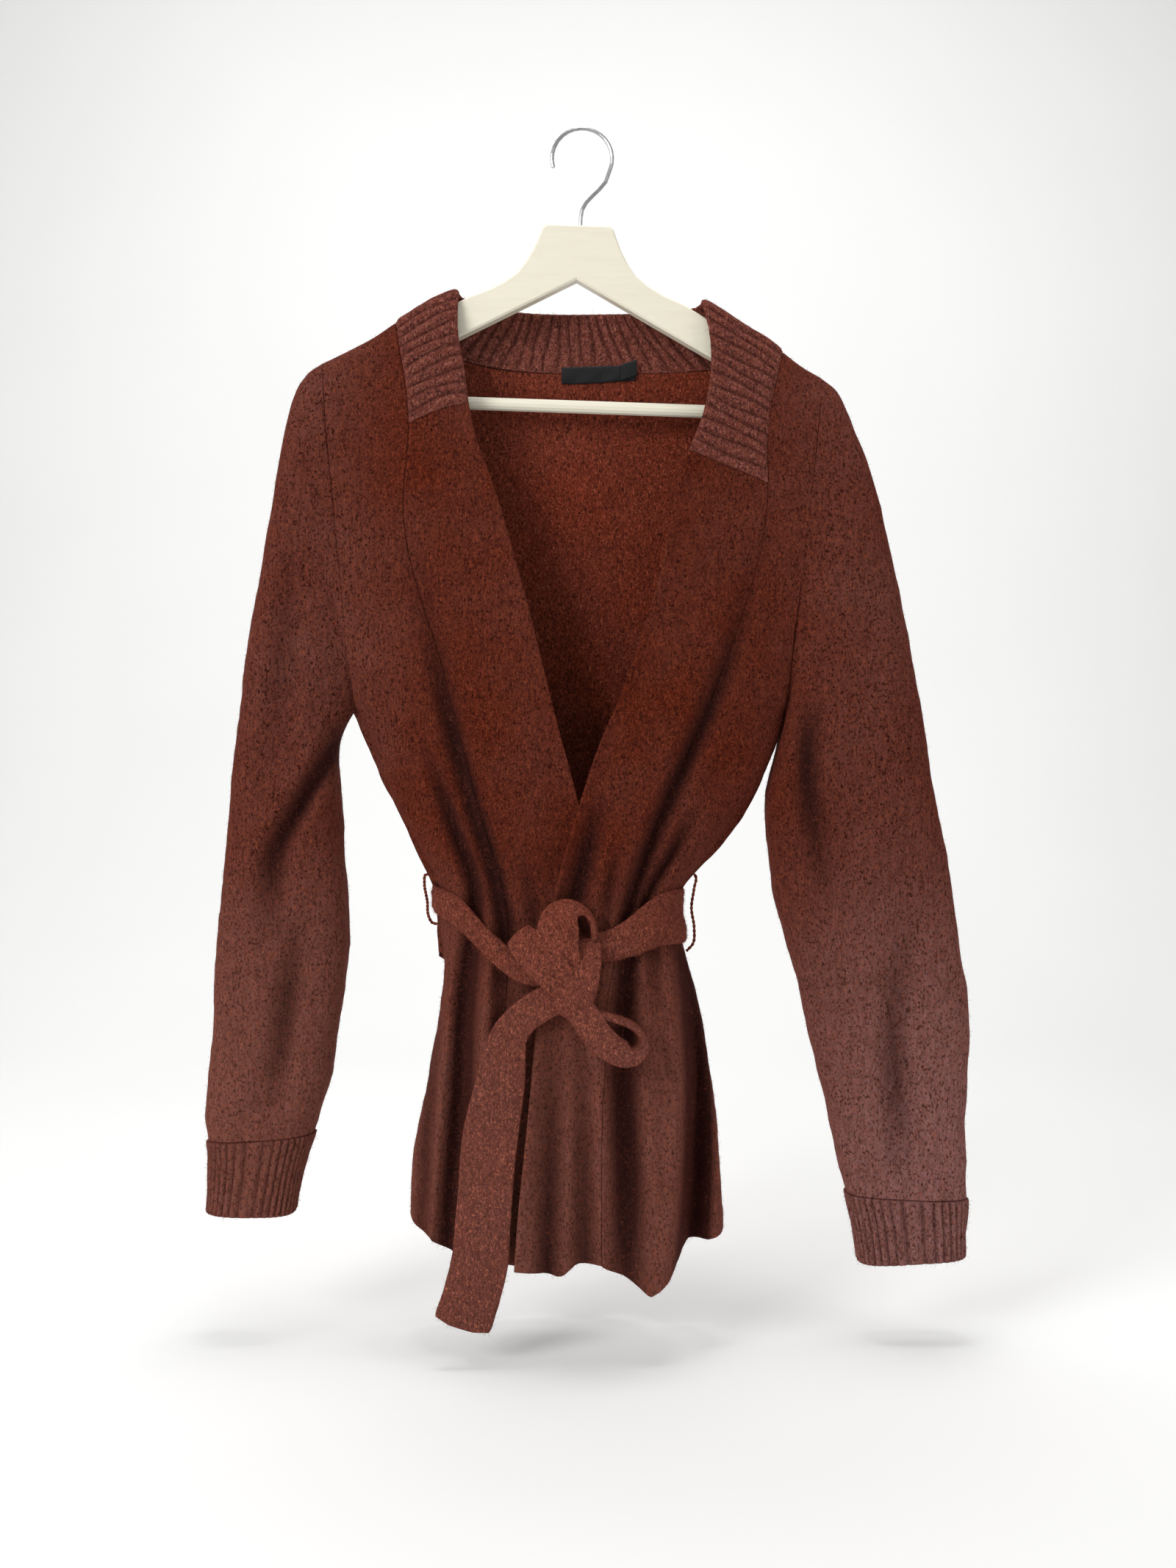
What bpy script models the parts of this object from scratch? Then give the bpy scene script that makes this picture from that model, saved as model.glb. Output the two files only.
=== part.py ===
"""Belted wrap cardigan of thick brushed wool, hanging on a wooden hanger.

The frame has +X to the viewer's right, the front of the garment towards -Y and +Z up. The
origin is the point inside the top of the hanger's hook where a rail bears. Sizes below are in
millimetres and become metres where a mesh is made. Right and left in names are the wearer's.
"""

import math

import bmesh
import bpy
import numpy as np

MM = 0.001

# Small steps by which slopes of the surfaces are taken
SMALL_TURN = 0.004
SMALL_RISE = 0.8
SMALL_SHARE = 0.02
FRONT_OUTWARD = (0.0, -1.0, 0.3)
BACK_OUTWARD = (0.0, 1.0, 0.3)

# Cloth
WALL = 3.0
HALF_SEAM = 0.25
SECTION_POWER = 2.4
RIDGE_POWER = 2.8
LAYER_STEP = WALL + 1.4
LAYER_RUN = 13.0
LAYER_TOP_Z = -500.0
LAYER_FULL_Z = -552.0
COVERED_SINK = 8.0
COVERED_Z = -620.0

# Body: heights of the armpit and the hem, and the spread of the shoulder tips
ARMPIT_Z = -480.0
HEM_Z = -925.0
UPPER_RISE = 300.0
TIP_LEFT_X = -214.0
TIP_RIGHT_X = 198.0
ARMHOLE_DEPTH = 22.0

# Rows of every panel: heights below the armpit, and shares of the way up above it
LOWER_GRID = (
    -925, -900, -868, -835, -800, -765, -732, -708, -688, -668, -650, -632, -616, -598,
    -575, -551, -526, -502,
)
RIB_END_RIGHT_FRONT = 0.71
RIB_END_LEFT_FRONT = 0.61
UPPER_GRID = (
    0.0, 0.12, 0.25, 0.38, 0.5, RIB_END_LEFT_FRONT, RIB_END_RIGHT_FRONT, 0.8, 0.88, 0.94,
    0.975, 0.993, 1.0,
)

# Neck: the seam of the collar runs round the back of it, and the free edge stands above
NECK_DEPTH = 24.0
NECK_POWER = 3.0
COLLAR_LEAN = 7.0
NECK_SEAM_Z = -197.0
COLLAR_TOP_Z = -143.0
COLLAR_BULGE = 3.0
COLLAR_RIBS = 54
RIB_HEIGHT = 1.1
CUFF_RIBS = 19

# Belt and its carriers
BELT_THICK = 5.5
BELT_GAP = 1.4
BELT_ROUNDING = (
    (-0.5, 0.35), (-0.47, 0.75), (-0.3, 1.0), (0.0, 1.0), (0.3, 1.0), (0.47, 0.75), (0.5, 0.35),
)
CARRIER_WIRE = 2.4
CARRIER_COLUMNS = ("z", "off_the_side")
CARRIER_RIGHT = (
    (-617.0, 1.6), (-618.0, 7.5), (-624.0, 10.6), (-640.0, 10.8), (-652.0, 10.0), (-657.5, 7.0),
    (-658.5, 1.7),
)
CARRIER_LEFT = (
    (-616.0, 1.6), (-619.0, 6.5), (-629.0, 12.5), (-645.0, 14.0), (-662.0, 13.0), (-675.0, 8.5),
    (-681.0, 1.7),
)

# Hanger: a board with two arms, a round bar and a wire hook, leaning a little to the right.
# The shoulder rows run from the block over the neck of the board to the start of the arm.
HANGER_THICK = 12.0
HANGER_LEAN = math.radians(-2.0)
HANGER_TOP_Z = -80.5
HANGER_TOP_X = -3.0
NOTCH_DROP = 45.0
SHOULDER_COLUMNS = ("out", "drop")
HANGER_SHOULDER = (
    (26.0, 0.0), (29.0, 2.5), (36.0, 20.0), (42.0, 31.0), (49.0, 40.5), (58.5, 48.0),
    (72.0, 55.5), (88.0, 62.0),
)
EDGE_ROUND = 1.4
ARM_ANGLE = math.radians(28.2)
ARM_END = 203.0
ARM_END_RADIUS = 11.0
ARM_TAPER = 2.2
BAR_DIAMETER = 10.7
BAR_DROP = 149.0
BAR_HALF = 182.0
HOOK_WIRE = 3.2
HOOK_RADIUS = 25.0
HOOK_SHANK = (
    (-1.5, -80.2), (-1.2, -73.0), (0.0, -66.0), (3.4, -60.0), (8.6, -54.6), (14.4, -49.0),
    (19.4, -43.0),
)
HOOK_ARC_DEGREES = (-24, 197, 13)

# Rings of the body from the armpit down: the sides, and the depth to the front and the back
BODY_COLUMNS = ("z", "left", "right", "front", "back")
BODY_ROWS = (
    (-480, -187.0, 168.0, 42, 34),
    (-502, -177.0, 162.0, 43, 35),
    (-526, -168.0, 152.5, 44, 36),
    (-551, -157.0, 141.0, 45, 36),
    (-575, -144.5, 124.0, 46, 37),
    (-599, -132.5, 105.5, 48, 38),
    (-614, -124.5, 92.0, 49, 39),
    (-628, -119.0, 81.0, 51, 40),
    (-650, -117.5, 77.0, 52, 40),
    (-662, -117.0, 80.0, 53, 41),
    (-685, -115.0, 86.0, 55, 42),
    (-709, -116.5, 92.0, 57, 43),
    (-746, -121.0, 100.0, 59, 45),
    (-782, -127.0, 105.5, 61, 46),
    (-819, -133.5, 110.5, 62, 47),
    (-868, -141.0, 114.0, 63, 48),
    (-925, -143.0, 115.0, 64, 48),
)

# Depth of the body above the armpit, by the share of the way up to the shoulder
UPPER_COLUMNS = ("share", "front", "back")
UPPER_ROWS = ((0.0, 42, 34), (0.25, 38, 32), (0.5, 33, 29), (0.75, 27, 25), (1.0, 22, 23))

# Top of the shoulders and of the collar where it passes over the hanger
TOP_COLUMNS = ("x", "z")
TOP_ROWS = (
    (-214, -194.0), (-195, -184.8), (-172, -172.6), (-154, -160.4), (-136, -148.5),
    (-118, -139.0), (-105, -134.2), (-98, -134.0), (90, -139.5), (99, -142.0),
    (108, -147.0), (130, -160.4), (151, -173.0), (166, -184.8), (181, -196.5),
    (198, -206.5),
)

# Seam of each front with its band, and the band's free edge: x by height
SEAM_COLUMNS = ("z", "x")
RIGHT_SEAM = (
    (-180, -154), (-267, -141), (-329, -145), (-472, -107), (-562, -83), (-655, -59),
    (-700, -60), (-800, -66), (-930, -70),
)
RIGHT_EDGE = (
    (-180, -102), (-216, -101), (-237, -96.5), (-263, -92.5), (-290, -86), (-325, -71.5),
    (-392, -49), (-469, -26.3), (-515, -14), (-559, -2), (-615, 12), (-640, 17),
    (-700, 20), (-930, 20),
)
LEFT_SEAM = (
    (-180, 166), (-253, 152), (-318, 151), (-460, 111), (-547, 72), (-600, 50),
    (-639, 37.5), (-700, 23), (-800, 17), (-930, 15),
)
LEFT_EDGE = (
    (-180, 99), (-212, 105.5), (-268, 98), (-310, 81), (-390, 62), (-452, 39.6),
    (-518, 11.3), (-559, -2), (-636, -23), (-700, -32), (-800, -42), (-896, -51),
    (-930, -53),
)

# Hem of the fronts and of the back: height by x
FRONT_HEM = (
    (-143, -897), (-135, -902), (-102, -919), (-55, -925), (-19, -932), (-3, -922),
    (16, -923), (33, -932), (54, -949), (70, -938), (88, -915), (115, -909),
)
BACK_HEM = (
    (-143, -897), (-120, -905), (-70, -915), (-20, -919), (40, -917), (90, -920), (115, -909),
)
HEM_RUN = 150.0

# Folds: each is a trough with its line, depth and half width at a few heights
FOLD_COLUMNS = ("z", "x", "depth", "half_width")
FRONT_FOLDS = {
    "beside the right band": (
        (-330, -154, 0, 12), (-472, -117, 6, 12), (-562, -92, 9, 11), (-640, -70, 10, 9),
        (-700, -62, 4, 10), (-760, -60, 0, 12),
    ),
    "right waist": (
        (-500, -124, 0, 12), (-574, -108, 6, 10), (-627, -92, 9, 9), (-680, -92, 12, 10),
        (-800, -99, 13, 12), (-930, -108, 12, 14),
    ),
    "right side of skirt": (
        (-690, -108, 0, 8), (-760, -119, 4, 9), (-930, -131, 5, 9),
    ),
    "beside the over edge": (
        (-570, 14, 0, 10), (-600, 6, 5, 10), (-640, -8, 6, 10), (-690, 4, 0, 10),
    ),
    "beside the left band": (
        (-330, 160, 0, 12), (-460, 121, 5, 12), (-547, 82, 8, 10), (-600, 60, 9, 9),
        (-640, 50, 9, 9), (-690, 38, 12, 11), (-850, 36, 12, 12), (-930, 36, 7, 13),
    ),
    "left waist": (
        (-540, 100, 0, 10), (-595, 80, 7, 9), (-634, 62, 9, 8), (-690, 60, 3, 9),
        (-740, 62, 0, 9),
    ),
    "left side of skirt": (
        (-650, 72, 0, 8), (-700, 84, 10, 9), (-760, 92, 20, 10), (-870, 94, 26, 11),
        (-930, 90, 26, 12),
    ),
    "front of skirt": (
        (-720, -22, 0, 12), (-800, -24, 5, 12), (-930, -27, 7, 12),
    ),
    "middle of skirt": (
        (-720, 0, 0, 10), (-800, 0, 5, 10), (-930, 0, 7, 11),
    ),
}
BACK_FOLDS = {
    "back left": (
        (-470, 96, 0, 16), (-560, 78, 6, 13), (-640, 50, 9, 10), (-760, 58, 11, 13),
        (-930, 66, 13, 16),
    ),
    "back middle": (
        (-520, -8, 0, 14), (-590, -2, 6, 12), (-640, 4, 8, 10), (-740, 2, 9, 12),
        (-930, 0, 11, 16),
    ),
    "back right": (
        (-440, -112, 0, 16), (-560, -88, 7, 13), (-640, -64, 9, 10), (-760, -74, 10, 13),
        (-930, -84, 12, 15),
    ),
    "back short left": (
        (-570, 44, 0, 10), (-612, 30, 6, 9), (-640, 26, 8, 9), (-720, 30, 4, 10),
        (-790, 32, 0, 10),
    ),
    "back short right": (
        (-585, -52, 0, 10), (-620, -40, 6, 9), (-640, -36, 8, 9), (-700, -38, 7, 10),
        (-830, -42, 0, 12),
    ),
}

# Rings of each sleeve: outer and inner point of the flattened section, and half its depth
SLEEVE_COLUMNS = ("outer_x", "outer_z", "inner_x", "inner_z", "half_depth")
RIGHT_SLEEVE = (
    (-214.0, -194.0, -187.0, -480.0, 22.0),
    (-230.0, -207.0, -189.0, -483.5, 23.0),
    (-240.0, -229.0, -191.5, -487.5, 25.0),
    (-249.0, -270.0, -194.0, -492.0, 27.0),
    (-257.0, -315.0, -196.5, -497.0, 29.0),
    (-265.0, -360.0, -199.0, -503.0, 30.0),
    (-272.0, -405.0, -201.0, -512.0, 31.0),
    (-278.5, -448.0, -202.0, -524.0, 32.0),
    (-284.0, -490.0, -201.0, -541.0, 32.0),
    (-289.5, -535.0, -199.0, -565.0, 31.0),
    (-294.5, -590.0, -197.0, -600.0, 30.0),
    (-299.5, -642.0, -195.0, -645.0, 29.0),
    (-302.5, -690.0, -195.0, -690.0, 28.0),
    (-304.0, -740.0, -201.0, -737.0, 27.0),
    (-307.0, -786.0, -208.5, -783.0, 27.0),
    (-309.5, -815.0, -218.0, -812.0, 26.0),
    (-308.5, -836.0, -224.0, -831.0, 24.0),
)
RIGHT_CUFF = (
    (-308.5, -836.0, -224.0, -831.0, 24.0),
    (-308.0, -864.0, -232.0, -860.0, 22.0),
    (-309.8, -895.0, -240.0, -896.0, 23.0),
)
LEFT_SLEEVE = (
    (198.0, -206.5, 168.0, -480.0, 22.0),
    (211.0, -218.0, 167.8, -485.0, 23.0),
    (220.5, -238.0, 167.0, -490.0, 25.0),
    (231.5, -267.0, 165.8, -496.0, 27.0),
    (244.0, -306.0, 164.0, -503.0, 29.0),
    (253.5, -347.0, 162.0, -511.0, 30.0),
    (262.5, -390.0, 160.0, -520.0, 31.0),
    (272.0, -434.0, 157.5, -531.0, 32.0),
    (279.5, -482.0, 155.0, -543.0, 32.0),
    (288.0, -530.0, 153.0, -557.0, 31.0),
    (299.0, -588.0, 153.5, -592.0, 30.0),
    (306.0, -634.0, 159.0, -634.0, 29.0),
    (312.0, -680.0, 169.0, -677.0, 28.0),
    (319.5, -730.0, 183.0, -728.0, 27.0),
    (319.0, -780.0, 195.0, -780.0, 26.0),
    (317.8, -832.0, 206.0, -830.0, 25.0),
    (317.0, -884.0, 219.5, -880.0, 23.0),
)
LEFT_CUFF = (
    (317.0, -884.0, 219.5, -880.0, 23.0),
    (316.5, -908.0, 226.0, -906.0, 21.5),
    (316.0, -932.0, 230.5, -937.0, 22.0),
)
SLEEVE_FOLDS = {
    "under the right arm": (
        (-486, -190, 0, 12), (-520, -211, 9, 11), (-594, -250, 9, 12), (-655, -253, 0, 14),
    ),
    "right elbow": (
        (-640, -232, 0, 12), (-690, -238, 4, 12), (-760, -246, 5, 12), (-820, -256, 0, 12),
    ),
    "under the left arm": (
        (-470, 196, 0, 12), (-530, 190, 8, 12), (-600, 196, 4, 14), (-650, 204, 0, 16),
    ),
    "left forearm": (
        (-640, 258, 0, 16), (-720, 250, 4, 14), (-800, 254, 5, 14), (-860, 262, 0, 14),
    ),
}
SLEEVE_POINTS = 20

# Belt stretches on the body: angle round the ring from the front, height and width
STRETCH_COLUMNS = ("angle", "z", "width")
BELT_RIGHT_STRETCH = (
    (-89.0, -636.0, 24), (-80.0, -637.0, 24), (-70.0, -638.5, 24), (-60.0, -641.0, 25),
    (-50.0, -646.0, 26), (-41.0, -655.0, 27), (-32.0, -668.0, 27), (-24.0, -679.0, 26),
    (-16.5, -688.0, 24),
)
BELT_LEFT_STRETCH = (
    (89.0, -650.0, 46), (80.0, -650.0, 46), (70.0, -650.0, 46), (58.0, -650.5, 44),
    (48.0, -653.0, 40), (40.0, -658.0, 35), (32.0, -664.0, 30), (25.0, -668.0, 26),
    (19.0, -671.0, 24),
)
BELT_BACK_STRETCH = (
    (91.0, -650.0, 46), (100.0, -650.0, 45), (110.0, -649.0, 44), (125.0, -647.0, 42),
    (140.0, -645.0, 41), (160.0, -643.0, 40), (180.0, -641.0, 39), (200.0, -640.0, 38),
    (220.0, -639.0, 36), (235.0, -638.0, 34), (250.0, -637.0, 30), (260.0, -636.0, 27),
    (269.0, -636.0, 24),
)

# Free parts of the belt: place on the front, height above the cloth, width and twist
# The columns are x, z, lift, width and twist in degrees.
KNOT_TOP = (
    (-16.0, -692.0, 13.9, 24, 0), (-17.0, -680.0, 14.2, 30, 0), (-17.0, -664.0, 14.0, 36, 0),
    (-15.0, -650.0, 11.5, 38, 0), (-12.0, -641.0, 8.5, 34, 0),
)
KNOT_WRAP = (
    (-50.0, -665.0, 9.2, 24, 0), (-46.0, -673.0, 9.3, 28, 0), (-40.5, -683.0, 9.3, 28, 0),
    (-36.0, -692.0, 9.2, 26, 0),
)
BELT_TAIL = (
    (-19.0, -711.0, 8.5, 24, 0), (-33.0, -716.0, 7.5, 24, 0), (-47.0, -726.0, 6.0, 25, 0),
    (-56.5, -740.0, 5.0, 29, 0), (-61.0, -757.0, 4.5, 35, 0), (-63.5, -777.0, 4.4, 39, 0),
    (-68.0, -800.0, 4.4, 42, 0), (-72.0, -823.0, 4.4, 44, 0), (-75.0, -852.0, 4.4, 43, 0),
    (-77.5, -885.0, 4.4, 43, 0), (-80.0, -916.0, 4.6, 44, 0), (-86.5, -944.0, 5.5, 45, 0),
    (-95.5, -971.0, 7.0, 47, 0),
)
BOW_LOOP = (
    (-9.0, -697.0, 15.0, 24, 4), (0.0, -709.0, 17.0, 25, 4), (10.5, -721.0, 20.0, 25, 8),
    (21.0, -732.0, 22.5, 25, 14), (32.0, -742.0, 22.5, 25, 24), (41.5, -748.0, 19.5, 25, 44),
    (47.5, -748.5, 16.0, 25, 66), (49.5, -741.0, 13.0, 24, 90), (44.5, -732.0, 12.0, 22, 104),
    (36.0, -724.5, 11.0, 20, 112), (26.0, -718.0, 10.0, 18, 118), (16.0, -711.0, 9.0, 16, 124),
)
RIBBON_POINTS = 10

# Label inside the back neck: it is bare
LABEL_LEFT_X = -17.5
LABEL_RIGHT_X = 45.0
LABEL_TOP_Z = -191.0
LABEL_HEIGHT = 14.0
LABEL_THICK = 0.8
LABEL_GAP = 0.6
LABEL_SLANT = 0.5

COLOURS = {
    "wool": (0.118, 0.026, 0.016, 0.95, 0.0),
    "label": (0.012, 0.012, 0.014, 0.7, 0.0),
    "wood": (0.82, 0.78, 0.66, 0.42, 0.0),
    "steel": (0.5, 0.5, 0.5, 0.3, 1.0),
}


def clear_scene():
    for thing in list(bpy.data.objects):
        bpy.data.objects.remove(thing, do_unlink=True)


def unit(vectors):
    length = np.linalg.norm(vectors, axis=-1, keepdims=True)
    return vectors / np.maximum(length, 1e-9)


def step_up(share):
    share = np.clip(share, 0.0, 1.0)
    return share * share * (3.0 - 2.0 * share)


def smooth_read(at, keys, values):
    """A cubic through the rows, with each row's slope taken from its two neighbours."""
    order = np.argsort(keys)
    keys = np.asarray(keys, float)[order]
    values = np.asarray(values, float)[order]
    slopes = np.gradient(values, keys)
    at = np.clip(np.asarray(at, float), keys[0], keys[-1])
    place = np.clip(np.searchsorted(keys, at) - 1, 0, len(keys) - 2)
    span = keys[place + 1] - keys[place]
    t = (at - keys[place]) / span
    start = (1 + 2 * t) * (1 - t) ** 2 * values[place] + t * (1 - t) ** 2 * span * slopes[place]
    end = t * t * (3 - 2 * t) * values[place + 1] - t * t * (1 - t) * span * slopes[place + 1]
    return start + end


def column(rows, names, name):
    return [row[names.index(name)] for row in rows]


def by_height(rows, height):
    return smooth_read(height, column(rows, SEAM_COLUMNS, "z"), column(rows, SEAM_COLUMNS, "x"))


def share_up(height):
    return np.clip((height - ARMPIT_Z) / UPPER_RISE, 0.0, 1.0)


def sides(height):
    """Middle and half width of the body's ring."""
    heights = column(BODY_ROWS, BODY_COLUMNS, "z")
    share = share_up(height)
    left = smooth_read(height, heights, column(BODY_ROWS, BODY_COLUMNS, "left"))
    right = smooth_read(height, heights, column(BODY_ROWS, BODY_COLUMNS, "right"))
    left = left + (TIP_LEFT_X - left) * share
    right = right + (TIP_RIGHT_X - right) * share
    return (left + right) / 2, (right - left) / 2


def depth_of(side, height):
    heights = column(BODY_ROWS, BODY_COLUMNS, "z")
    shares = column(UPPER_ROWS, UPPER_COLUMNS, "share")
    below = smooth_read(height, heights, column(BODY_ROWS, BODY_COLUMNS, side))
    share = share_up(height)
    above = smooth_read(share, shares, column(UPPER_ROWS, UPPER_COLUMNS, side))
    return np.where(share > 0, above, below)


def angle_at(x, height):
    """The angle round the section, from the middle to a side, at which it reaches x."""
    middle, half = sides(height)
    reach = np.clip((x - middle) / half, -1.0, 1.0)
    return np.arcsin(np.sign(reach) * np.abs(reach) ** (SECTION_POWER / 2))


def signed_power(value, power):
    return np.sign(value) * np.abs(value) ** power


def top_line(x):
    return smooth_read(x, column(TOP_ROWS, TOP_COLUMNS, "x"), column(TOP_ROWS, TOP_COLUMNS, "z"))


def neck_middle_half():
    left = RIGHT_SEAM[0][1]
    right = LEFT_SEAM[0][1]
    return (left + right) / 2, (right - left) / 2


def neck_share(x):
    """0 at the ends of the back neck, 1 in its middle."""
    middle, half = neck_middle_half()
    return 1.0 - np.clip(np.abs(x - middle) / half, 0.0, 1.0) ** NECK_POWER


def back_top(x):
    """Depth and height of the back's top edge."""
    middle, half = neck_middle_half()
    share = neck_share(x)
    at_side = top_line(np.where(x < middle, middle - half, middle + half))
    inside = at_side + (NECK_SEAM_Z - at_side) * share
    within = np.abs(x - middle) < half
    return NECK_DEPTH * share ** (1 / NECK_POWER), np.where(within, inside, top_line(x))


def fold_depth(folds, x, z):
    total = np.zeros(np.broadcast(x, z).shape)
    for rows in folds.values():
        heights = column(rows, FOLD_COLUMNS, "z")[::-1]
        line = np.interp(z, heights, column(rows, FOLD_COLUMNS, "x")[::-1])
        depth = np.interp(z, heights, column(rows, FOLD_COLUMNS, "depth")[::-1])
        half = np.interp(z, heights, column(rows, FOLD_COLUMNS, "half_width")[::-1])
        total = np.maximum(total, depth * np.exp(-(((x - line) / half) ** 2)))
    return total


def section(side, angle, height):
    """x, depth, the ridge profile towards the shoulder, and the top x of the same column."""
    share = share_up(height)
    middle, half = sides(height)
    across = signed_power(np.sin(angle), 2 / SECTION_POWER)
    x = middle + half * across
    top_middle, top_half = sides(ARMPIT_Z + UPPER_RISE)
    x_top = top_middle + top_half * across
    low = np.clip(1 - 2 * share, 0.0, 1.0)
    high = np.clip(2 * share - 1, 0.0, 1.0)
    opened = (1 - low**RIDGE_POWER) ** (1 / RIDGE_POWER)
    ridge = (1 - high**RIDGE_POWER) ** (1 / RIDGE_POWER)
    blunt = 1 / SECTION_POWER + (1 - 1 / SECTION_POWER) * step_up(share / 0.4)
    crown = np.abs(np.cos(angle)) ** (2 * blunt)
    edge = ARMHOLE_DEPTH * opened
    depth = edge + (depth_of(side, height) - edge) * crown
    return x, depth, ridge, x_top, crown


def hem_shift(hem, x, height):
    xs = [row[0] for row in hem]
    zs = [row[1] for row in hem]
    near = step_up((HEM_Z + HEM_RUN - height) / HEM_RUN)
    return (np.interp(x, xs, zs) - HEM_Z) * near


def front_point(angle, height, under=False):
    x, depth, ridge, x_top, crown = section("front", angle, height)
    share = share_up(height)
    z = np.where(share > 0, ARMPIT_Z + (top_line(x_top) - ARMPIT_Z) * share, height)
    z = z + hem_shift(FRONT_HEM, x, height)
    sink = fold_depth(FRONT_FOLDS, x, z) * np.minimum(crown * 1.6, 1.0) * ridge
    if under:
        seam = by_height(RIGHT_SEAM, height)
        below = step_up((LAYER_TOP_Z - height) / (LAYER_TOP_Z - LAYER_FULL_Z))
        cover = step_up((x - seam + LAYER_RUN) / LAYER_RUN) * below
        covered = COVERED_SINK * step_up((LAYER_FULL_Z - height) / (LAYER_FULL_Z - COVERED_Z))
        sink = sink * (1 - cover) + (LAYER_STEP + covered) * cover
    y = -np.maximum(depth * ridge - sink, HALF_SEAM)
    return np.stack([x, y, z], axis=-1)


def back_point(angle, height):
    x, depth, ridge, x_top, crown = section("back", angle, height)
    share = share_up(height)
    y_top, z_top = back_top(x_top)
    z = np.where(share > 0, ARMPIT_Z + (z_top - ARMPIT_Z) * share, height)
    z = z + hem_shift(BACK_HEM, x, height)
    sink = fold_depth(BACK_FOLDS, x, z) * np.minimum(crown * 1.6, 1.0) * ridge
    y = np.maximum((depth - sink) * ridge + y_top * (1 - ridge), HALF_SEAM)
    return np.stack([x, y, z], axis=-1)


def ring_point(angle, z):
    """The body's plain ring without its folds; the angle starts at the front, positive to +X."""
    middle, half = sides(z)
    front = np.cos(angle) > 0
    depth = np.where(front, depth_of("front", z), depth_of("back", z))
    x = middle + half * signed_power(np.sin(angle), 2 / SECTION_POWER)
    y = -depth * signed_power(np.cos(angle), 2 / SECTION_POWER)
    return np.stack([x, y, z + 0 * x], axis=-1)


def normals_of(place, first, second, outward):
    """Unit normals of a surface function by small differences, turned to the given side."""
    along = place(first + SMALL_TURN, second) - place(first - SMALL_TURN, second)
    upward = place(first, second + SMALL_RISE) - place(first, second - SMALL_RISE)
    normal = unit(np.cross(along, upward))
    flip = np.sum(normal * outward, axis=-1, keepdims=True) < 0
    return np.where(flip, -normal, normal)


def add_object(name, points, faces, material, smooth=True):
    """A mesh object from points in millimetres, with its faces pointing out."""
    corners = np.asarray(points, float)
    volume = 0.0
    for face in faces:
        for second, third in zip(face[1:-1], face[2:]):
            volume += np.dot(corners[face[0]], np.cross(corners[second], corners[third]))
    if volume < 0:
        faces = [tuple(reversed(face)) for face in faces]
    mesh = bpy.data.meshes.new(name)
    mesh.from_pydata((corners * MM).tolist(), [], faces)
    mesh.validate()
    if smooth:
        mesh.shade_smooth()
        mesh.set_sharp_from_angle(angle=math.radians(50))
    return add_mesh(name, mesh, material)


def add_mesh(name, mesh, material):
    thing = bpy.data.objects.new(name, mesh)
    parts_collection().objects.link(thing)
    mesh.materials.append(material_for(name, material))
    return thing


def parts_collection():
    found = bpy.data.collections.get("belted_cardigan")
    if found is None:
        found = bpy.data.collections.new("belted_cardigan")
        bpy.context.scene.collection.children.link(found)
    return found


def material_for(name, kind):
    red, green, blue, rough, metal = COLOURS[kind]
    material = bpy.data.materials.new(name + "_" + kind)
    material.use_nodes = True
    shader = material.node_tree.nodes["Principled BSDF"]
    shader.inputs["Base Color"].default_value = (red, green, blue, 1.0)
    shader.inputs["Roughness"].default_value = rough
    shader.inputs["Metallic"].default_value = metal
    return material


def wall(name, outer, inner, material="wool", ring=False):
    """A closed cloth wall between two grids of points of the same size."""
    rows, columns = outer.shape[:2]
    points = np.concatenate([outer.reshape(-1, 3), inner.reshape(-1, 3)])
    offset = rows * columns
    faces = []
    spans = columns if ring else columns - 1
    for row in range(rows - 1):
        for start in range(spans):
            end = (start + 1) % columns
            a, b = row * columns + start, row * columns + end
            c, d = b + columns, a + columns
            faces.append((a, b, c, d))
            faces.append((d + offset, c + offset, b + offset, a + offset))
    for row, turned in ((0, True), (rows - 1, False)):
        for start in range(spans):
            end = (start + 1) % columns
            a, b = row * columns + start, row * columns + end
            rim = (a, b, b + offset, a + offset)
            faces.append(rim[::-1] if turned else rim)
    if not ring:
        for edge, turned in ((0, False), (columns - 1, True)):
            for row in range(rows - 1):
                a, b = row * columns + edge, (row + 1) * columns + edge
                rim = (a, b, b + offset, a + offset)
                faces.append(rim[::-1] if turned else rim)
    return add_object(name, points, faces, material)


def tube(name, rings, material="wool"):
    """A closed solid through rings of points, with a flat cap on each end."""
    count, points_each = rings.shape[:2]
    faces = []
    for row in range(count - 1):
        for start in range(points_each):
            end = (start + 1) % points_each
            a, b = row * points_each + start, row * points_each + end
            faces.append((a, b, b + points_each, a + points_each))
    faces.append(tuple(reversed(range(points_each))))
    faces.append(tuple(range((count - 1) * points_each, count * points_each)))
    return add_object(name, rings.reshape(-1, 3), faces, material)


def row_heights():
    """Heights of the rows of every panel, close together at the belt and over the shoulder."""
    upper = [ARMPIT_Z + UPPER_RISE * share for share in UPPER_GRID]
    return np.array(list(LOWER_GRID) + upper, float)


def seam_frame(seam, under, height):
    """Place and normal on a front's seam with its band, both shared by the pieces that meet there."""
    angle = angle_at(by_height(seam, height), height)

    def place(first, second):
        return front_point(first, second, under)

    spot = place(angle, height)
    below_top = np.minimum(height, ARMPIT_Z + UPPER_RISE - SMALL_RISE)
    normal = normals_of(place, angle, below_top, FRONT_OUTWARD)
    top = height >= ARMPIT_Z + UPPER_RISE - 0.01
    flat = unit(normal * np.array([1.0, 0.0, 1.0]))
    normal = np.where(np.reshape(top, np.shape(height) + (1,)), flat, normal)
    across = unit(place(angle + SMALL_TURN, height) - spot)
    return spot, normal, across


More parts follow.
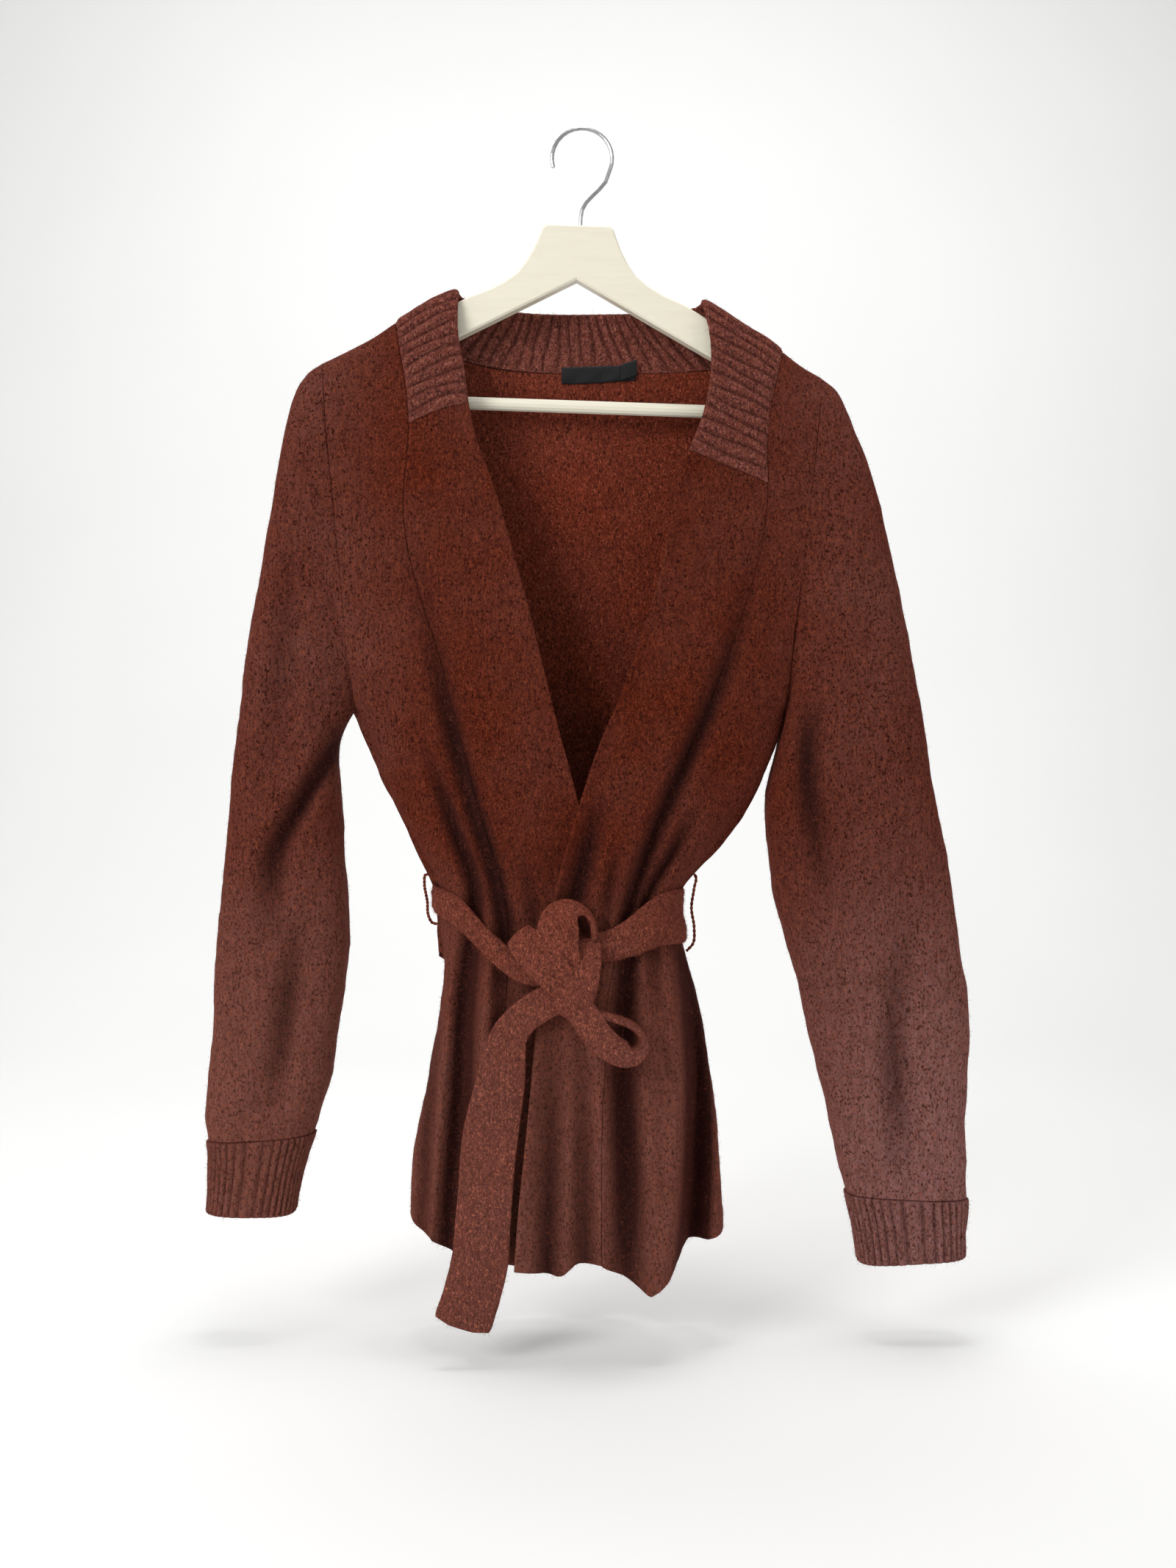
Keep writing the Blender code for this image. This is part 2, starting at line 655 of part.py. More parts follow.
def front_grid(seam, under, toward, shares, last_height=None):
    """Outer and inner points of a front from its seam towards the side or the free edge."""
    heights = row_heights()
    if last_height is not None:
        heights = heights[heights <= last_height + 0.01]
    outer = []
    inner = []

    def place(first, second):
        return front_point(first, second, under)

    for height in heights:
        start = angle_at(by_height(seam, height), height)
        if isinstance(toward, float):
            end = toward
        else:
            end = angle_at(by_height(toward, height), height)
        sign = math.copysign(1.0, end - start)
        if isinstance(toward, float):
            angles = start + (end - start) * np.array(shares)
        else:
            x_start = by_height(seam, height)
            x_end = by_height(toward, height)
            xs = x_start + (x_end - x_start) * np.array(shares)
            angles = angle_at(xs, np.full(len(xs), height))
        tall = np.full(len(angles), height)
        spots = place(angles, tall)
        safe = np.clip(tall, HEM_Z + 1.0, ARMPIT_Z + UPPER_RISE - SMALL_RISE)
        inside = np.clip(angles, -math.pi / 2 + 0.005, math.pi / 2 - 0.005)
        normals = normals_of(place, inside, safe, FRONT_OUTWARD)
        if height > ARMPIT_Z + UPPER_RISE - 0.01:
            normals = unit(normals * np.array([1.0, 0.0, 1.0]))
        if isinstance(toward, float):
            if height <= ARMPIT_Z:
                normals[-1] = (math.copysign(1.0, toward), 0.0, 0.0)
            else:
                normals[-1] = unit(normals[-1] * np.array([0.0, 1.0, 1.0]))
        seam_spot, seam_normal, across = seam_frame(seam, under, height)
        spots[0] = seam_spot + across * sign * HALF_SEAM
        normals[0] = seam_normal
        insides = spots - normals * WALL
        insides[:, 1] = np.minimum(insides[:, 1], -HALF_SEAM)
        outer.append(spots)
        inner.append(insides)
    return np.array(outer), np.array(inner)


def make_fronts():
    side_shares = [0.0, 0.1, 0.24, 0.4, 0.56, 0.72, 0.87, 1.0]
    band_shares = [0.0, 1 / 3, 2 / 3, 1.0]
    right_top = ARMPIT_Z + UPPER_RISE * RIB_END_RIGHT_FRONT
    left_top = ARMPIT_Z + UPPER_RISE * RIB_END_LEFT_FRONT
    wall("front_right", *front_grid(RIGHT_SEAM, True, -math.pi / 2, side_shares))
    wall("front_left", *front_grid(LEFT_SEAM, False, math.pi / 2, side_shares))
    for name, seam, edge, under, top in (
        ("band_right", RIGHT_SEAM, RIGHT_EDGE, True, right_top),
        ("band_left", LEFT_SEAM, LEFT_EDGE, False, left_top),
    ):
        outer, inner = front_grid(seam, under, edge, band_shares, last_height=top)
        upward = unit(outer[-1] - outer[-2]) * HALF_SEAM
        outer[-1] -= upward
        inner[-1] -= upward
        wall(name, outer, inner)


def collar_place(t, q):
    """The collar's surface: t runs up the right front, round the back and down the left front."""
    t = np.asarray(t, float)
    q = np.asarray(q, float)
    top = ARMPIT_Z + UPPER_RISE
    right_share = RIB_END_RIGHT_FRONT + (1 - RIB_END_RIGHT_FRONT) * np.clip(t, 0, 1)
    left_share = RIB_END_LEFT_FRONT + (1 - RIB_END_LEFT_FRONT) * np.clip(3 - t, 0, 1)
    fronts = []
    for share, seam, edge, under in (
        (right_share, RIGHT_SEAM, RIGHT_EDGE, True),
        (left_share, LEFT_SEAM, LEFT_EDGE, False),
    ):
        height = ARMPIT_Z + UPPER_RISE * share
        x_start = by_height(seam, height)
        x_end = by_height(edge, height)
        fronts.append(front_point(angle_at(x_start + (x_end - x_start) * q, height), height, under))
    turn = np.clip(t - 1, 0, 1) * math.pi
    left = RIGHT_SEAM[0][1] + (RIGHT_EDGE[0][1] - RIGHT_SEAM[0][1]) * q
    right = LEFT_SEAM[0][1] + (LEFT_EDGE[0][1] - LEFT_SEAM[0][1]) * q
    middle = (left + right) / 2
    half = (right - left) / 2
    x = middle - half * signed_power(np.cos(turn), 2 / NECK_POWER)
    rise = np.sin(turn) ** 2
    bow = COLLAR_BULGE * 4 * q * (1 - q)
    y = (NECK_DEPTH + COLLAR_LEAN * q + bow) * np.abs(np.sin(turn)) ** (2 / NECK_POWER)
    at_side = top_line(np.where(turn < math.pi / 2, left, right))
    z = at_side + (NECK_SEAM_Z + (COLLAR_TOP_Z - NECK_SEAM_Z) * q - at_side) * rise
    back = np.stack([x, y + 0 * x, z], axis=-1)
    pick = np.reshape(t, np.shape(t) + (1,))
    return np.where(pick < 1, fronts[0], np.where(pick > 2, fronts[1], back))


def collar_normals(t, q):
    low = np.clip(q - SMALL_SHARE, 0, 1)
    high = np.clip(q + SMALL_SHARE, 0, 1)
    along = collar_place(t + SMALL_TURN, q) - collar_place(t - SMALL_TURN, q)
    across = collar_place(t, high) - collar_place(t, low)
    return unit(np.cross(across, along))


BACK_TOP_X = (
    -214, -210, -202, -187, -170, -154, -150, -141, -124, -100, -68, -32, 6, 44, 80, 112, 136,
    153, 162, 166, 176, 187, 194, 198,
)


def neck_turn(x):
    """The collar's t at an x on the back's neck seam."""
    middle, half = neck_middle_half()
    reach = np.clip((x - middle) / half, -1, 1)
    return 1 + np.arccos(-signed_power(reach, NECK_POWER / 2)) / math.pi


def back_columns():
    top = ARMPIT_Z + UPPER_RISE
    return angle_at(np.array(BACK_TOP_X, float), np.full(len(BACK_TOP_X), top))


def on_neck(x):
    return RIGHT_SEAM[0][1] - 0.01 <= x <= LEFT_SEAM[0][1] + 0.01


def neck_seam_nodes():
    """Corners of the neck seam: t, place and normal, outer points towards the outside."""
    xs = np.array([x for x in BACK_TOP_X if on_neck(x)], float)
    turns = neck_turn(xs)
    turns = np.clip(turns, 1.0, 2.0)
    zero = np.zeros(len(xs))
    return turns, collar_place(turns, zero), collar_normals(turns, zero)


def make_back():
    heights = row_heights()
    angles = back_columns()
    angles[0], angles[-1] = -math.pi / 2, math.pi / 2
    outer = []
    inner = []
    for height in heights:
        tall = np.full(len(angles), height)
        spots = back_point(angles, tall)
        safe = np.clip(tall, HEM_Z + 1.0, ARMPIT_Z + UPPER_RISE - SMALL_RISE)
        inside = np.clip(angles, -math.pi / 2 + 0.005, math.pi / 2 - 0.005)
        normals = normals_of(back_point, inside, safe, BACK_OUTWARD)
        if height <= ARMPIT_Z:
            normals[0] = (-1.0, 0.0, 0.0)
            normals[-1] = (1.0, 0.0, 0.0)
        else:
            normals[0] = unit(normals[0] * np.array([0.0, 1.0, 1.0]))
            normals[-1] = unit(normals[-1] * np.array([0.0, 1.0, 1.0]))
        if height > ARMPIT_Z + UPPER_RISE - 0.01:
            normals = unit(normals * np.array([1.0, 0.0, 1.0]))
            turns, places, seam_normals = neck_seam_nodes()
            down = unit(collar_place(turns, 0 * turns + 0.1) - places)
            spot = 0
            for index, x in enumerate(BACK_TOP_X):
                if on_neck(x):
                    spots[index] = places[spot] - down[spot] * HALF_SEAM
                    normals[index] = seam_normals[spot]
                    spot += 1
            spots[:, 1] = np.maximum(spots[:, 1], HALF_SEAM)
        insides = spots - normals * WALL
        insides[:, 1] = np.maximum(insides[:, 1], HALF_SEAM)
        outer.append(spots)
        inner.append(insides)
    wall("back", np.array(outer), np.array(inner))


def collar_turns():
    """Values of t, two to a rib, at even steps along the middle of the collar."""
    fine = np.linspace(0, 3, 3001)
    line = collar_place(fine, np.full(len(fine), 0.5))
    reach = np.concatenate([[0], np.cumsum(np.linalg.norm(np.diff(line, axis=0), axis=1))])
    return np.interp(np.linspace(0, reach[-1], 2 * COLLAR_RIBS + 1), reach, fine)


def make_collar():
    turns = collar_turns()
    shares = np.array([0.0, 1 / 3, 2 / 3, 1.0])
    outer = np.zeros((len(turns), len(shares), 3))
    inner = np.zeros_like(outer)
    for place, q in enumerate(shares):
        spots = collar_place(turns, np.full(len(turns), q))
        normals = collar_normals(np.clip(turns, 0.01, 2.99), np.full(len(turns), q))
        raised = np.where(np.arange(len(turns)) % 2 == 1, RIB_HEIGHT, 0.0)[:, None]
        outer[:, place] = spots + normals * raised
        inner[:, place] = spots + normals * (raised - WALL)
    seam_turns, seam_outer, seam_inner = collar_seam()
    for axis in range(3):
        outer[:, 0, axis] = np.interp(turns, seam_turns, seam_outer[:, axis])
        inner[:, 0, axis] = np.interp(turns, seam_turns, seam_inner[:, axis])
    for end, neighbour in ((0, 1), (-1, -2)):
        upward = unit(outer[neighbour] - outer[end]) * HALF_SEAM
        outer[end] += upward
        inner[end] += upward
    wall("collar_rib", outer, inner)


def collar_seam():
    """The collar's sewn edge, point for point beside the edges of the fronts and the back."""
    rows = []
    top = ARMPIT_Z + UPPER_RISE
    for seam, edge, under, low, sign in (
        (RIGHT_SEAM, RIGHT_EDGE, True, RIB_END_RIGHT_FRONT, 1),
        (LEFT_SEAM, LEFT_EDGE, False, RIB_END_LEFT_FRONT, -1),
    ):
        for height in row_heights():
            share = share_up(height)
            if share < low - 0.001 or share > 0.999:
                continue
            spot, normal, across = seam_frame(seam, under, height)
            spot = spot + across * sign * HALF_SEAM
            t = (share - low) / (1 - low)
            rows.append((t if sign > 0 else 3 - t, spot, spot - normal * WALL))
    turns, places, normals = neck_seam_nodes()
    up = unit(collar_place(turns, 0 * turns + 0.1) - places)
    for t, spot, normal, rise in zip(turns, places, normals, up):
        spot = spot + rise * HALF_SEAM
        rows.append((t, spot, spot - normal * WALL))
    rows.sort(key=lambda row: row[0])
    return tuple(np.array([row[place] for row in rows]) for place in range(3))


def sleeve_rings(rows, points_each, rib_height=0.0):
    """Outer and inner rings of a sleeve or a cuff."""
    turns = np.arange(points_each) * 2 * math.pi / points_each
    across = signed_power(np.cos(turns), 2 / RIDGE_POWER)
    deep = -signed_power(np.sin(turns), 2 / RIDGE_POWER)
    raised = np.where(np.arange(points_each) % 2 == 1, rib_height, 0.0)
    outer = []
    inner = []
    for row in rows:
        size = dict(zip(SLEEVE_COLUMNS, row))
        far = np.array([size["outer_x"], 0.0, size["outer_z"]])
        near = np.array([size["inner_x"], 0.0, size["inner_z"]])
        half = np.linalg.norm(far - near) / 2
        axis = (far - near) / (2 * half)
        depth = size["half_depth"]
        middle = (far + near) / 2
        for found, less in ((outer, -raised), (inner, WALL + 0 * raised)):
            ring = middle + np.outer(across * (half - less), axis)
            ring[:, 1] += deep * (depth - less)
            sink = fold_depth(SLEEVE_FOLDS, ring[:, 0], ring[:, 2]) * np.abs(deep) ** 2
            ring[:, 1] -= np.sign(deep) * sink * np.where(deep < 0, 1.0, 0.5)
            found.append(ring)
    return np.array(outer), np.array(inner)


def make_sleeves():
    for name, cuff_name, rows, cuff_rows, away in (
        ("sleeve_right", "cuff_right", RIGHT_SLEEVE, RIGHT_CUFF, -1.0),
        ("sleeve_left", "cuff_left", LEFT_SLEEVE, LEFT_CUFF, 1.0),
    ):
        outer, inner = sleeve_rings(rows, SLEEVE_POINTS)
        for grid in (outer, inner):
            grid[0, :, 0] += 2 * HALF_SEAM * away
        wall(name, outer, inner, ring=True)
        outer, inner = sleeve_rings(cuff_rows, 2 * CUFF_RIBS, RIB_HEIGHT)
        for grid in (outer, inner):
            grid[0, :, 2] -= 2 * HALF_SEAM
        wall(cuff_name, outer, inner, ring=True)


def make_belt_stretch(name, rows):
    """A flat soft strip on the body's ring, its points moved out from the ring's."""
    angles = np.radians(column(rows, STRETCH_COLUMNS, "angle"))
    middles = np.array(column(rows, STRETCH_COLUMNS, "z"))
    widths = np.array(column(rows, STRETCH_COLUMNS, "width"))
    outer = []
    inner = []
    for place, rise in BELT_ROUNDING:
        heights = middles + widths * place
        spots = ring_point(angles, heights)
        normals = normals_of(ring_point, angles, heights, spots * np.array([1.0, 1.0, 0.0]))
        outer.append(spots + normals * (BELT_GAP + BELT_THICK * rise))
        inner.append(spots + normals * BELT_GAP)
    wall(name, np.array(outer), np.array(inner))


def ribbon(name, rows):
    """A flattened soft strip through the given places in front of the cloth."""
    x, z, lift, width, degrees = np.array(rows, float).T
    on_body = np.maximum(z, HEM_Z)
    base = ring_point(angle_at(x, on_body), on_body)
    middle = np.stack([x, base[:, 1] - lift, z], axis=1)
    forward = unit(np.gradient(middle, axis=0))
    twist = np.radians(degrees)[:, None]
    flat = unit(np.cross(forward, np.array([0.0, -1.0, 0.0])))
    raised = np.cross(flat, forward)
    wide = flat * np.cos(twist) + raised * np.sin(twist)
    thin = np.cross(forward, wide)
    turns = np.arange(RIBBON_POINTS) * 2 * math.pi / RIBBON_POINTS
    across = signed_power(np.cos(turns), 0.7)
    deep = signed_power(np.sin(turns), 0.7)
    rings = []
    for place in range(len(rows)):
        offset = np.outer(across * width[place] / 2, wide[place])
        offset += np.outer(deep * BELT_THICK / 2, thin[place])
        rings.append(middle[place] + offset)
    return tube(name, np.array(rings))


def make_belt():
    make_belt_stretch("belt_front_right", BELT_RIGHT_STRETCH)
    make_belt_stretch("belt_front_left", BELT_LEFT_STRETCH)
    make_belt_stretch("belt_back", BELT_BACK_STRETCH)
    ribbon("belt_knot_top", KNOT_TOP)
    ribbon("belt_knot_wrap", KNOT_WRAP)
    ribbon("belt_tail", BELT_TAIL)
    ribbon("belt_bow", BOW_LOOP)


def wire(name, points, diameter, material, resolution=2):
    curve = bpy.data.curves.new(name, "CURVE")
    curve.dimensions = "3D"
    curve.bevel_depth = diameter / 2 * MM
    curve.bevel_resolution = resolution
    curve.use_fill_caps = True
    spline = curve.splines.new("POLY")
    spline.points.add(len(points) - 1)
    for point, spot in zip(spline.points, points):
        point.co = (spot[0] * MM, spot[1] * MM, spot[2] * MM, 1.0)
    return add_mesh(name, curve, material)


def make_carriers():
    """A thread loop over the belt at each side seam, standing off where the belt is slack."""
    for name, rows in (
        ("carrier_right", CARRIER_RIGHT),
        ("carrier_left", CARRIER_LEFT),
    ):
        side = -1.0 if name == "carrier_right" else 1.0
        points = []
        heights = column(rows, CARRIER_COLUMNS, "z")
        for z, off in zip(heights, column(rows, CARRIER_COLUMNS, "off_the_side")):
            edge = ring_point(side * math.pi / 2, np.array(z, float))
            points.append((float(edge[0]) + side * off, 0.0, z))
        wire(name, points, CARRIER_WIRE, "wool", resolution=1)


def hanger_place(u, w):
    """A point of the board's own plane, leaned, as x and z."""
    x = HANGER_TOP_X + u * math.cos(HANGER_LEAN) - w * math.sin(HANGER_LEAN)
    z = HANGER_TOP_Z + u * math.sin(HANGER_LEAN) + w * math.cos(HANGER_LEAN)
    return x, z


def hanger_half_outline():
    """Right half of the board from the middle of its top to the notch under the block."""
    slope = math.tan(ARM_ANGLE)
    upper = [(out, -drop) for out, drop in HANGER_SHOULDER]
    start, drop = HANGER_SHOULDER[-1]
    end = ARM_END - ARM_END_RADIUS
    top_z = -drop - (end - start) * slope - ARM_TAPER
    low_z = -NOTCH_DROP - end * slope
    centre = (top_z + low_z) / 2 + 0.5
    reach = (top_z - low_z) / 2
    arc = []
    for step in range(7):
        turn = math.pi / 2 - step * math.pi / 6
        out = ARM_END_RADIUS * math.cos(turn)
        arc.append((end + out, centre + reach * math.sin(turn) - out * slope))
    return upper + arc + [(end / 2, -NOTCH_DROP - end / 2 * slope)]


def make_hanger():
    half = hanger_half_outline()
    outline = half + [(0.0, -NOTCH_DROP)] + [(-u, w) for u, w in reversed(half)]
    shape = bmesh.new()
    ring = []
    for u, w in outline:
        x, z = hanger_place(u, w)
        ring.append(shape.verts.new((x * MM, -HANGER_THICK / 2 * MM, z * MM)))
    face = shape.faces.new(ring)
    moved = bmesh.ops.extrude_face_region(shape, geom=[face])
    corners = [item for item in moved["geom"] if isinstance(item, bmesh.types.BMVert)]
    bmesh.ops.translate(shape, verts=corners, vec=(0.0, HANGER_THICK * MM, 0.0))
    bmesh.ops.recalc_face_normals(shape, faces=shape.faces)
    mesh = bpy.data.meshes.new("hanger_wood")
    shape.to_mesh(mesh)
    shape.free()
    board = add_mesh("hanger_wood", mesh, "wood")
    bevel = board.modifiers.new("round edges", "BEVEL")
    bevel.width = EDGE_ROUND * MM
    bevel.segments = 1
    bevel.limit_method = "ANGLE"
    bevel.angle_limit = math.radians(60)
    left = hanger_place(-BAR_HALF, -BAR_DROP)
    right = hanger_place(BAR_HALF, -BAR_DROP)
    ends = [(left[0], 0.0, left[1]), (right[0], 0.0, right[1])]
    wire("hanger_bar", ends, BAR_DIAMETER, "wood", resolution=4)
    make_hook()


def make_hook():
    """Shank out of the board, an easy bend, and a round hook over the rail."""
    centre_z = HOOK_WIRE / 2 - HOOK_RADIUS
    start, end, step = HOOK_ARC_DEGREES
    arc = []
    for degrees in range(start, end + 1, step):
        turn = math.radians(degrees)
        arc.append((HOOK_RADIUS * math.cos(turn), centre_z + HOOK_RADIUS * math.sin(turn)))
    wire("hanger_hook", [(x, 0.0, z) for x, z in list(HOOK_SHANK) + arc], HOOK_WIRE, "steel")


def make_label():
    """A thin bare tape on the inside of the back neck, across the collar's seam."""
    columns = 6
    xs = np.linspace(LABEL_LEFT_X, LABEL_RIGHT_X, columns)
    tilt = np.linspace(0.0, 2.0, columns)
    outer = []
    inner = []
    for drop in (0.0, LABEL_HEIGHT / 2, LABEL_HEIGHT):
        y = NECK_DEPTH - WALL - LABEL_GAP - LABEL_SLANT * drop / LABEL_HEIGHT
        row = np.stack([xs, np.full(columns, y), LABEL_TOP_Z - drop + tilt], axis=1)
        outer.append(row)
        inner.append(row - np.array([0.0, LABEL_THICK, 0.0]))
    wall("label", np.array(outer), np.array(inner), material="label")


def main():
    clear_scene()
    make_back()
    make_fronts()
    make_collar()
    make_sleeves()
    make_belt()
    make_carriers()
    make_label()
    make_hanger()


main()
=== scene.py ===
"""Looks of the belted cardigan: brushed wool cloth, fuzz, belt, bare label, hanger, stage and camera.

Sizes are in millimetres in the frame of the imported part, and become metres where a mesh is made.
"""

import math

import bmesh
import bpy
import numpy as np
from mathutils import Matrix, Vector


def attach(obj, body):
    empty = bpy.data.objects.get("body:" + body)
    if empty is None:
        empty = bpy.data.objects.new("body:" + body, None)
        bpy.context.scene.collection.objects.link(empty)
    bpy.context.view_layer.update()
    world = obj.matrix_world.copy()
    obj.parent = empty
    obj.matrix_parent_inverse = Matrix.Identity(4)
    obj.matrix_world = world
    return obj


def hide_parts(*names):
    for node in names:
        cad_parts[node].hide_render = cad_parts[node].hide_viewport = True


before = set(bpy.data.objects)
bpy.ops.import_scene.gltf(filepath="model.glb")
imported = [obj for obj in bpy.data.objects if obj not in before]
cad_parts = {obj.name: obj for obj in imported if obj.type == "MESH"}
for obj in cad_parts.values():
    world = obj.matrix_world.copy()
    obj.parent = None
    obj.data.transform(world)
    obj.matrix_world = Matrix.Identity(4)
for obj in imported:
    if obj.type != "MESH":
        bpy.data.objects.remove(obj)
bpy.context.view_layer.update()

MM = 0.001

# Spacing of the fine rows on the panels, and along a sleeve
PANEL_STEP = 4.2
SLEEVE_STEP = 4.4
# Radii by which an edge of the cloth is rounded
HEM_ROUND = 2.2
FREE_ROUND = 2.4
SEAM_ROUND = 1.0
JOINED_ROUND = 0.8
SIDE_ROUND = 0.6
TAPE_ROUND = 0.4
# The depth at which a fold's trough is shaded in full
FULL_SHADE_DEPTH = 9.0
# Rise of the shown ribs, and of the free edges of the bands
RIB_SHOWN = 2.6
EDGE_ROLL = 2.6
EDGE_ROLL_REACH = 6.0
FLOOR_Z = -1003.0

# Small steps by which slopes of the surfaces are taken
SMALL_TURN = 0.004
SMALL_RISE = 0.8
SMALL_SHARE = 0.02
FRONT_OUTWARD = (0.0, -1.0, 0.3)
BACK_OUTWARD = (0.0, 1.0, 0.3)

# Cloth
WALL = 3.0
HALF_SEAM = 0.08
SECTION_POWER = 2.4
RIDGE_POWER = 2.8
LAYER_STEP = WALL + 1.4
LAYER_RUN = 13.0
LAYER_TOP_Z = -500.0
LAYER_FULL_Z = -552.0
COVERED_SINK = 8.0
COVERED_Z = -620.0

# Body: heights of the armpit and the hem, and the spread of the shoulder tips
ARMPIT_Z = -480.0
HEM_Z = -925.0
UPPER_RISE = 300.0
TIP_LEFT_X = -214.0
TIP_RIGHT_X = 198.0
ARMHOLE_DEPTH = 22.0

# Rows of every panel: heights below the armpit, and shares of the way up above it
LOWER_GRID = (
    -925, -900, -868, -835, -800, -765, -732, -708, -688, -668, -650, -632, -616, -598,
    -575, -551, -526, -502,
)
RIB_END_RIGHT_FRONT = 0.71
RIB_END_LEFT_FRONT = 0.61
UPPER_GRID = (
    0.0, 0.12, 0.25, 0.38, 0.5, RIB_END_LEFT_FRONT, RIB_END_RIGHT_FRONT, 0.8, 0.88, 0.94,
    0.975, 0.993, 1.0,
)

# Neck: the seam of the collar runs round the back of it, and the free edge stands above
NECK_DEPTH = 24.0
NECK_POWER = 3.0
COLLAR_LEAN = 7.0
NECK_SEAM_Z = -197.0
COLLAR_TOP_Z = -143.0
COLLAR_BULGE = 3.0
COLLAR_RIBS = 54
CUFF_RIBS = 19

# Belt and its carriers
BELT_THICK = 5.5
BELT_GAP = 1.4
CARRIER_WIRE = 2.4
CARRIER_COLUMNS = ("z", "off_the_side")
CARRIER_RIGHT = (
    (-617.0, 1.6), (-618.0, 7.5), (-624.0, 10.6), (-640.0, 10.8), (-652.0, 10.0), (-657.5, 7.0),
    (-658.5, 1.7),
)
CARRIER_LEFT = (
    (-616.0, 1.6), (-619.0, 6.5), (-629.0, 12.5), (-645.0, 14.0), (-662.0, 13.0), (-675.0, 8.5),
    (-681.0, 1.7),
)


# Rings of the body from the armpit down: the sides, and the depth to the front and the back
BODY_COLUMNS = ("z", "left", "right", "front", "back")
BODY_ROWS = (
    (-480, -187.0, 168.0, 42, 34),
    (-502, -177.0, 162.0, 43, 35),
    (-526, -168.0, 152.5, 44, 36),
    (-551, -157.0, 141.0, 45, 36),
    (-575, -144.5, 124.0, 46, 37),
    (-599, -132.5, 105.5, 48, 38),
    (-614, -124.5, 92.0, 49, 39),
    (-628, -119.0, 81.0, 51, 40),
    (-650, -117.5, 77.0, 52, 40),
    (-662, -117.0, 80.0, 53, 41),
    (-685, -115.0, 86.0, 55, 42),
    (-709, -116.5, 92.0, 57, 43),
    (-746, -121.0, 100.0, 59, 45),
    (-782, -127.0, 105.5, 61, 46),
    (-819, -133.5, 110.5, 62, 47),
    (-868, -141.0, 114.0, 63, 48),
    (-925, -143.0, 115.0, 64, 48),
)

# Depth of the body above the armpit, by the share of the way up to the shoulder
UPPER_COLUMNS = ("share", "front", "back")
UPPER_ROWS = ((0.0, 42, 34), (0.25, 38, 32), (0.5, 33, 29), (0.75, 27, 25), (1.0, 22, 23))

# Top of the shoulders and of the collar where it passes over the hanger
TOP_COLUMNS = ("x", "z")
TOP_ROWS = (
    (-214, -194.0), (-195, -184.8), (-172, -172.6), (-154, -160.4), (-136, -148.5),
    (-118, -139.0), (-105, -134.2), (-98, -134.0), (90, -139.5), (99, -142.0),
    (108, -147.0), (130, -160.4), (151, -173.0), (166, -184.8), (181, -196.5),
    (198, -206.5),
)

# Seam of each front with its band, and the band's free edge: x by height
SEAM_COLUMNS = ("z", "x")
RIGHT_SEAM = (
    (-180, -154), (-267, -141), (-329, -145), (-472, -107), (-562, -83), (-655, -59),
    (-700, -60), (-800, -66), (-930, -70),
)
RIGHT_EDGE = (
    (-180, -102), (-216, -101), (-237, -96.5), (-263, -92.5), (-290, -86), (-325, -71.5),
    (-392, -49), (-469, -26.3), (-515, -14), (-559, -2), (-615, 12), (-640, 17),
    (-700, 20), (-930, 20),
)
LEFT_SEAM = (
    (-180, 166), (-253, 152), (-318, 151), (-460, 111), (-547, 72), (-600, 50),
    (-639, 37.5), (-700, 23), (-800, 17), (-930, 15),
)
LEFT_EDGE = (
    (-180, 99), (-212, 105.5), (-268, 98), (-310, 81), (-390, 62), (-452, 39.6),
    (-518, 11.3), (-559, -2), (-636, -23), (-700, -32), (-800, -42), (-896, -51),
    (-930, -53),
)

# Hem of the fronts and of the back: height by x
FRONT_HEM = (
    (-143, -897), (-135, -902), (-102, -919), (-55, -925), (-19, -932), (-3, -922),
    (16, -923), (33, -932), (54, -949), (70, -938), (88, -915), (115, -909),
)
BACK_HEM = (
    (-143, -897), (-120, -905), (-70, -915), (-20, -919), (40, -917), (90, -920), (115, -909),
)
HEM_RUN = 150.0

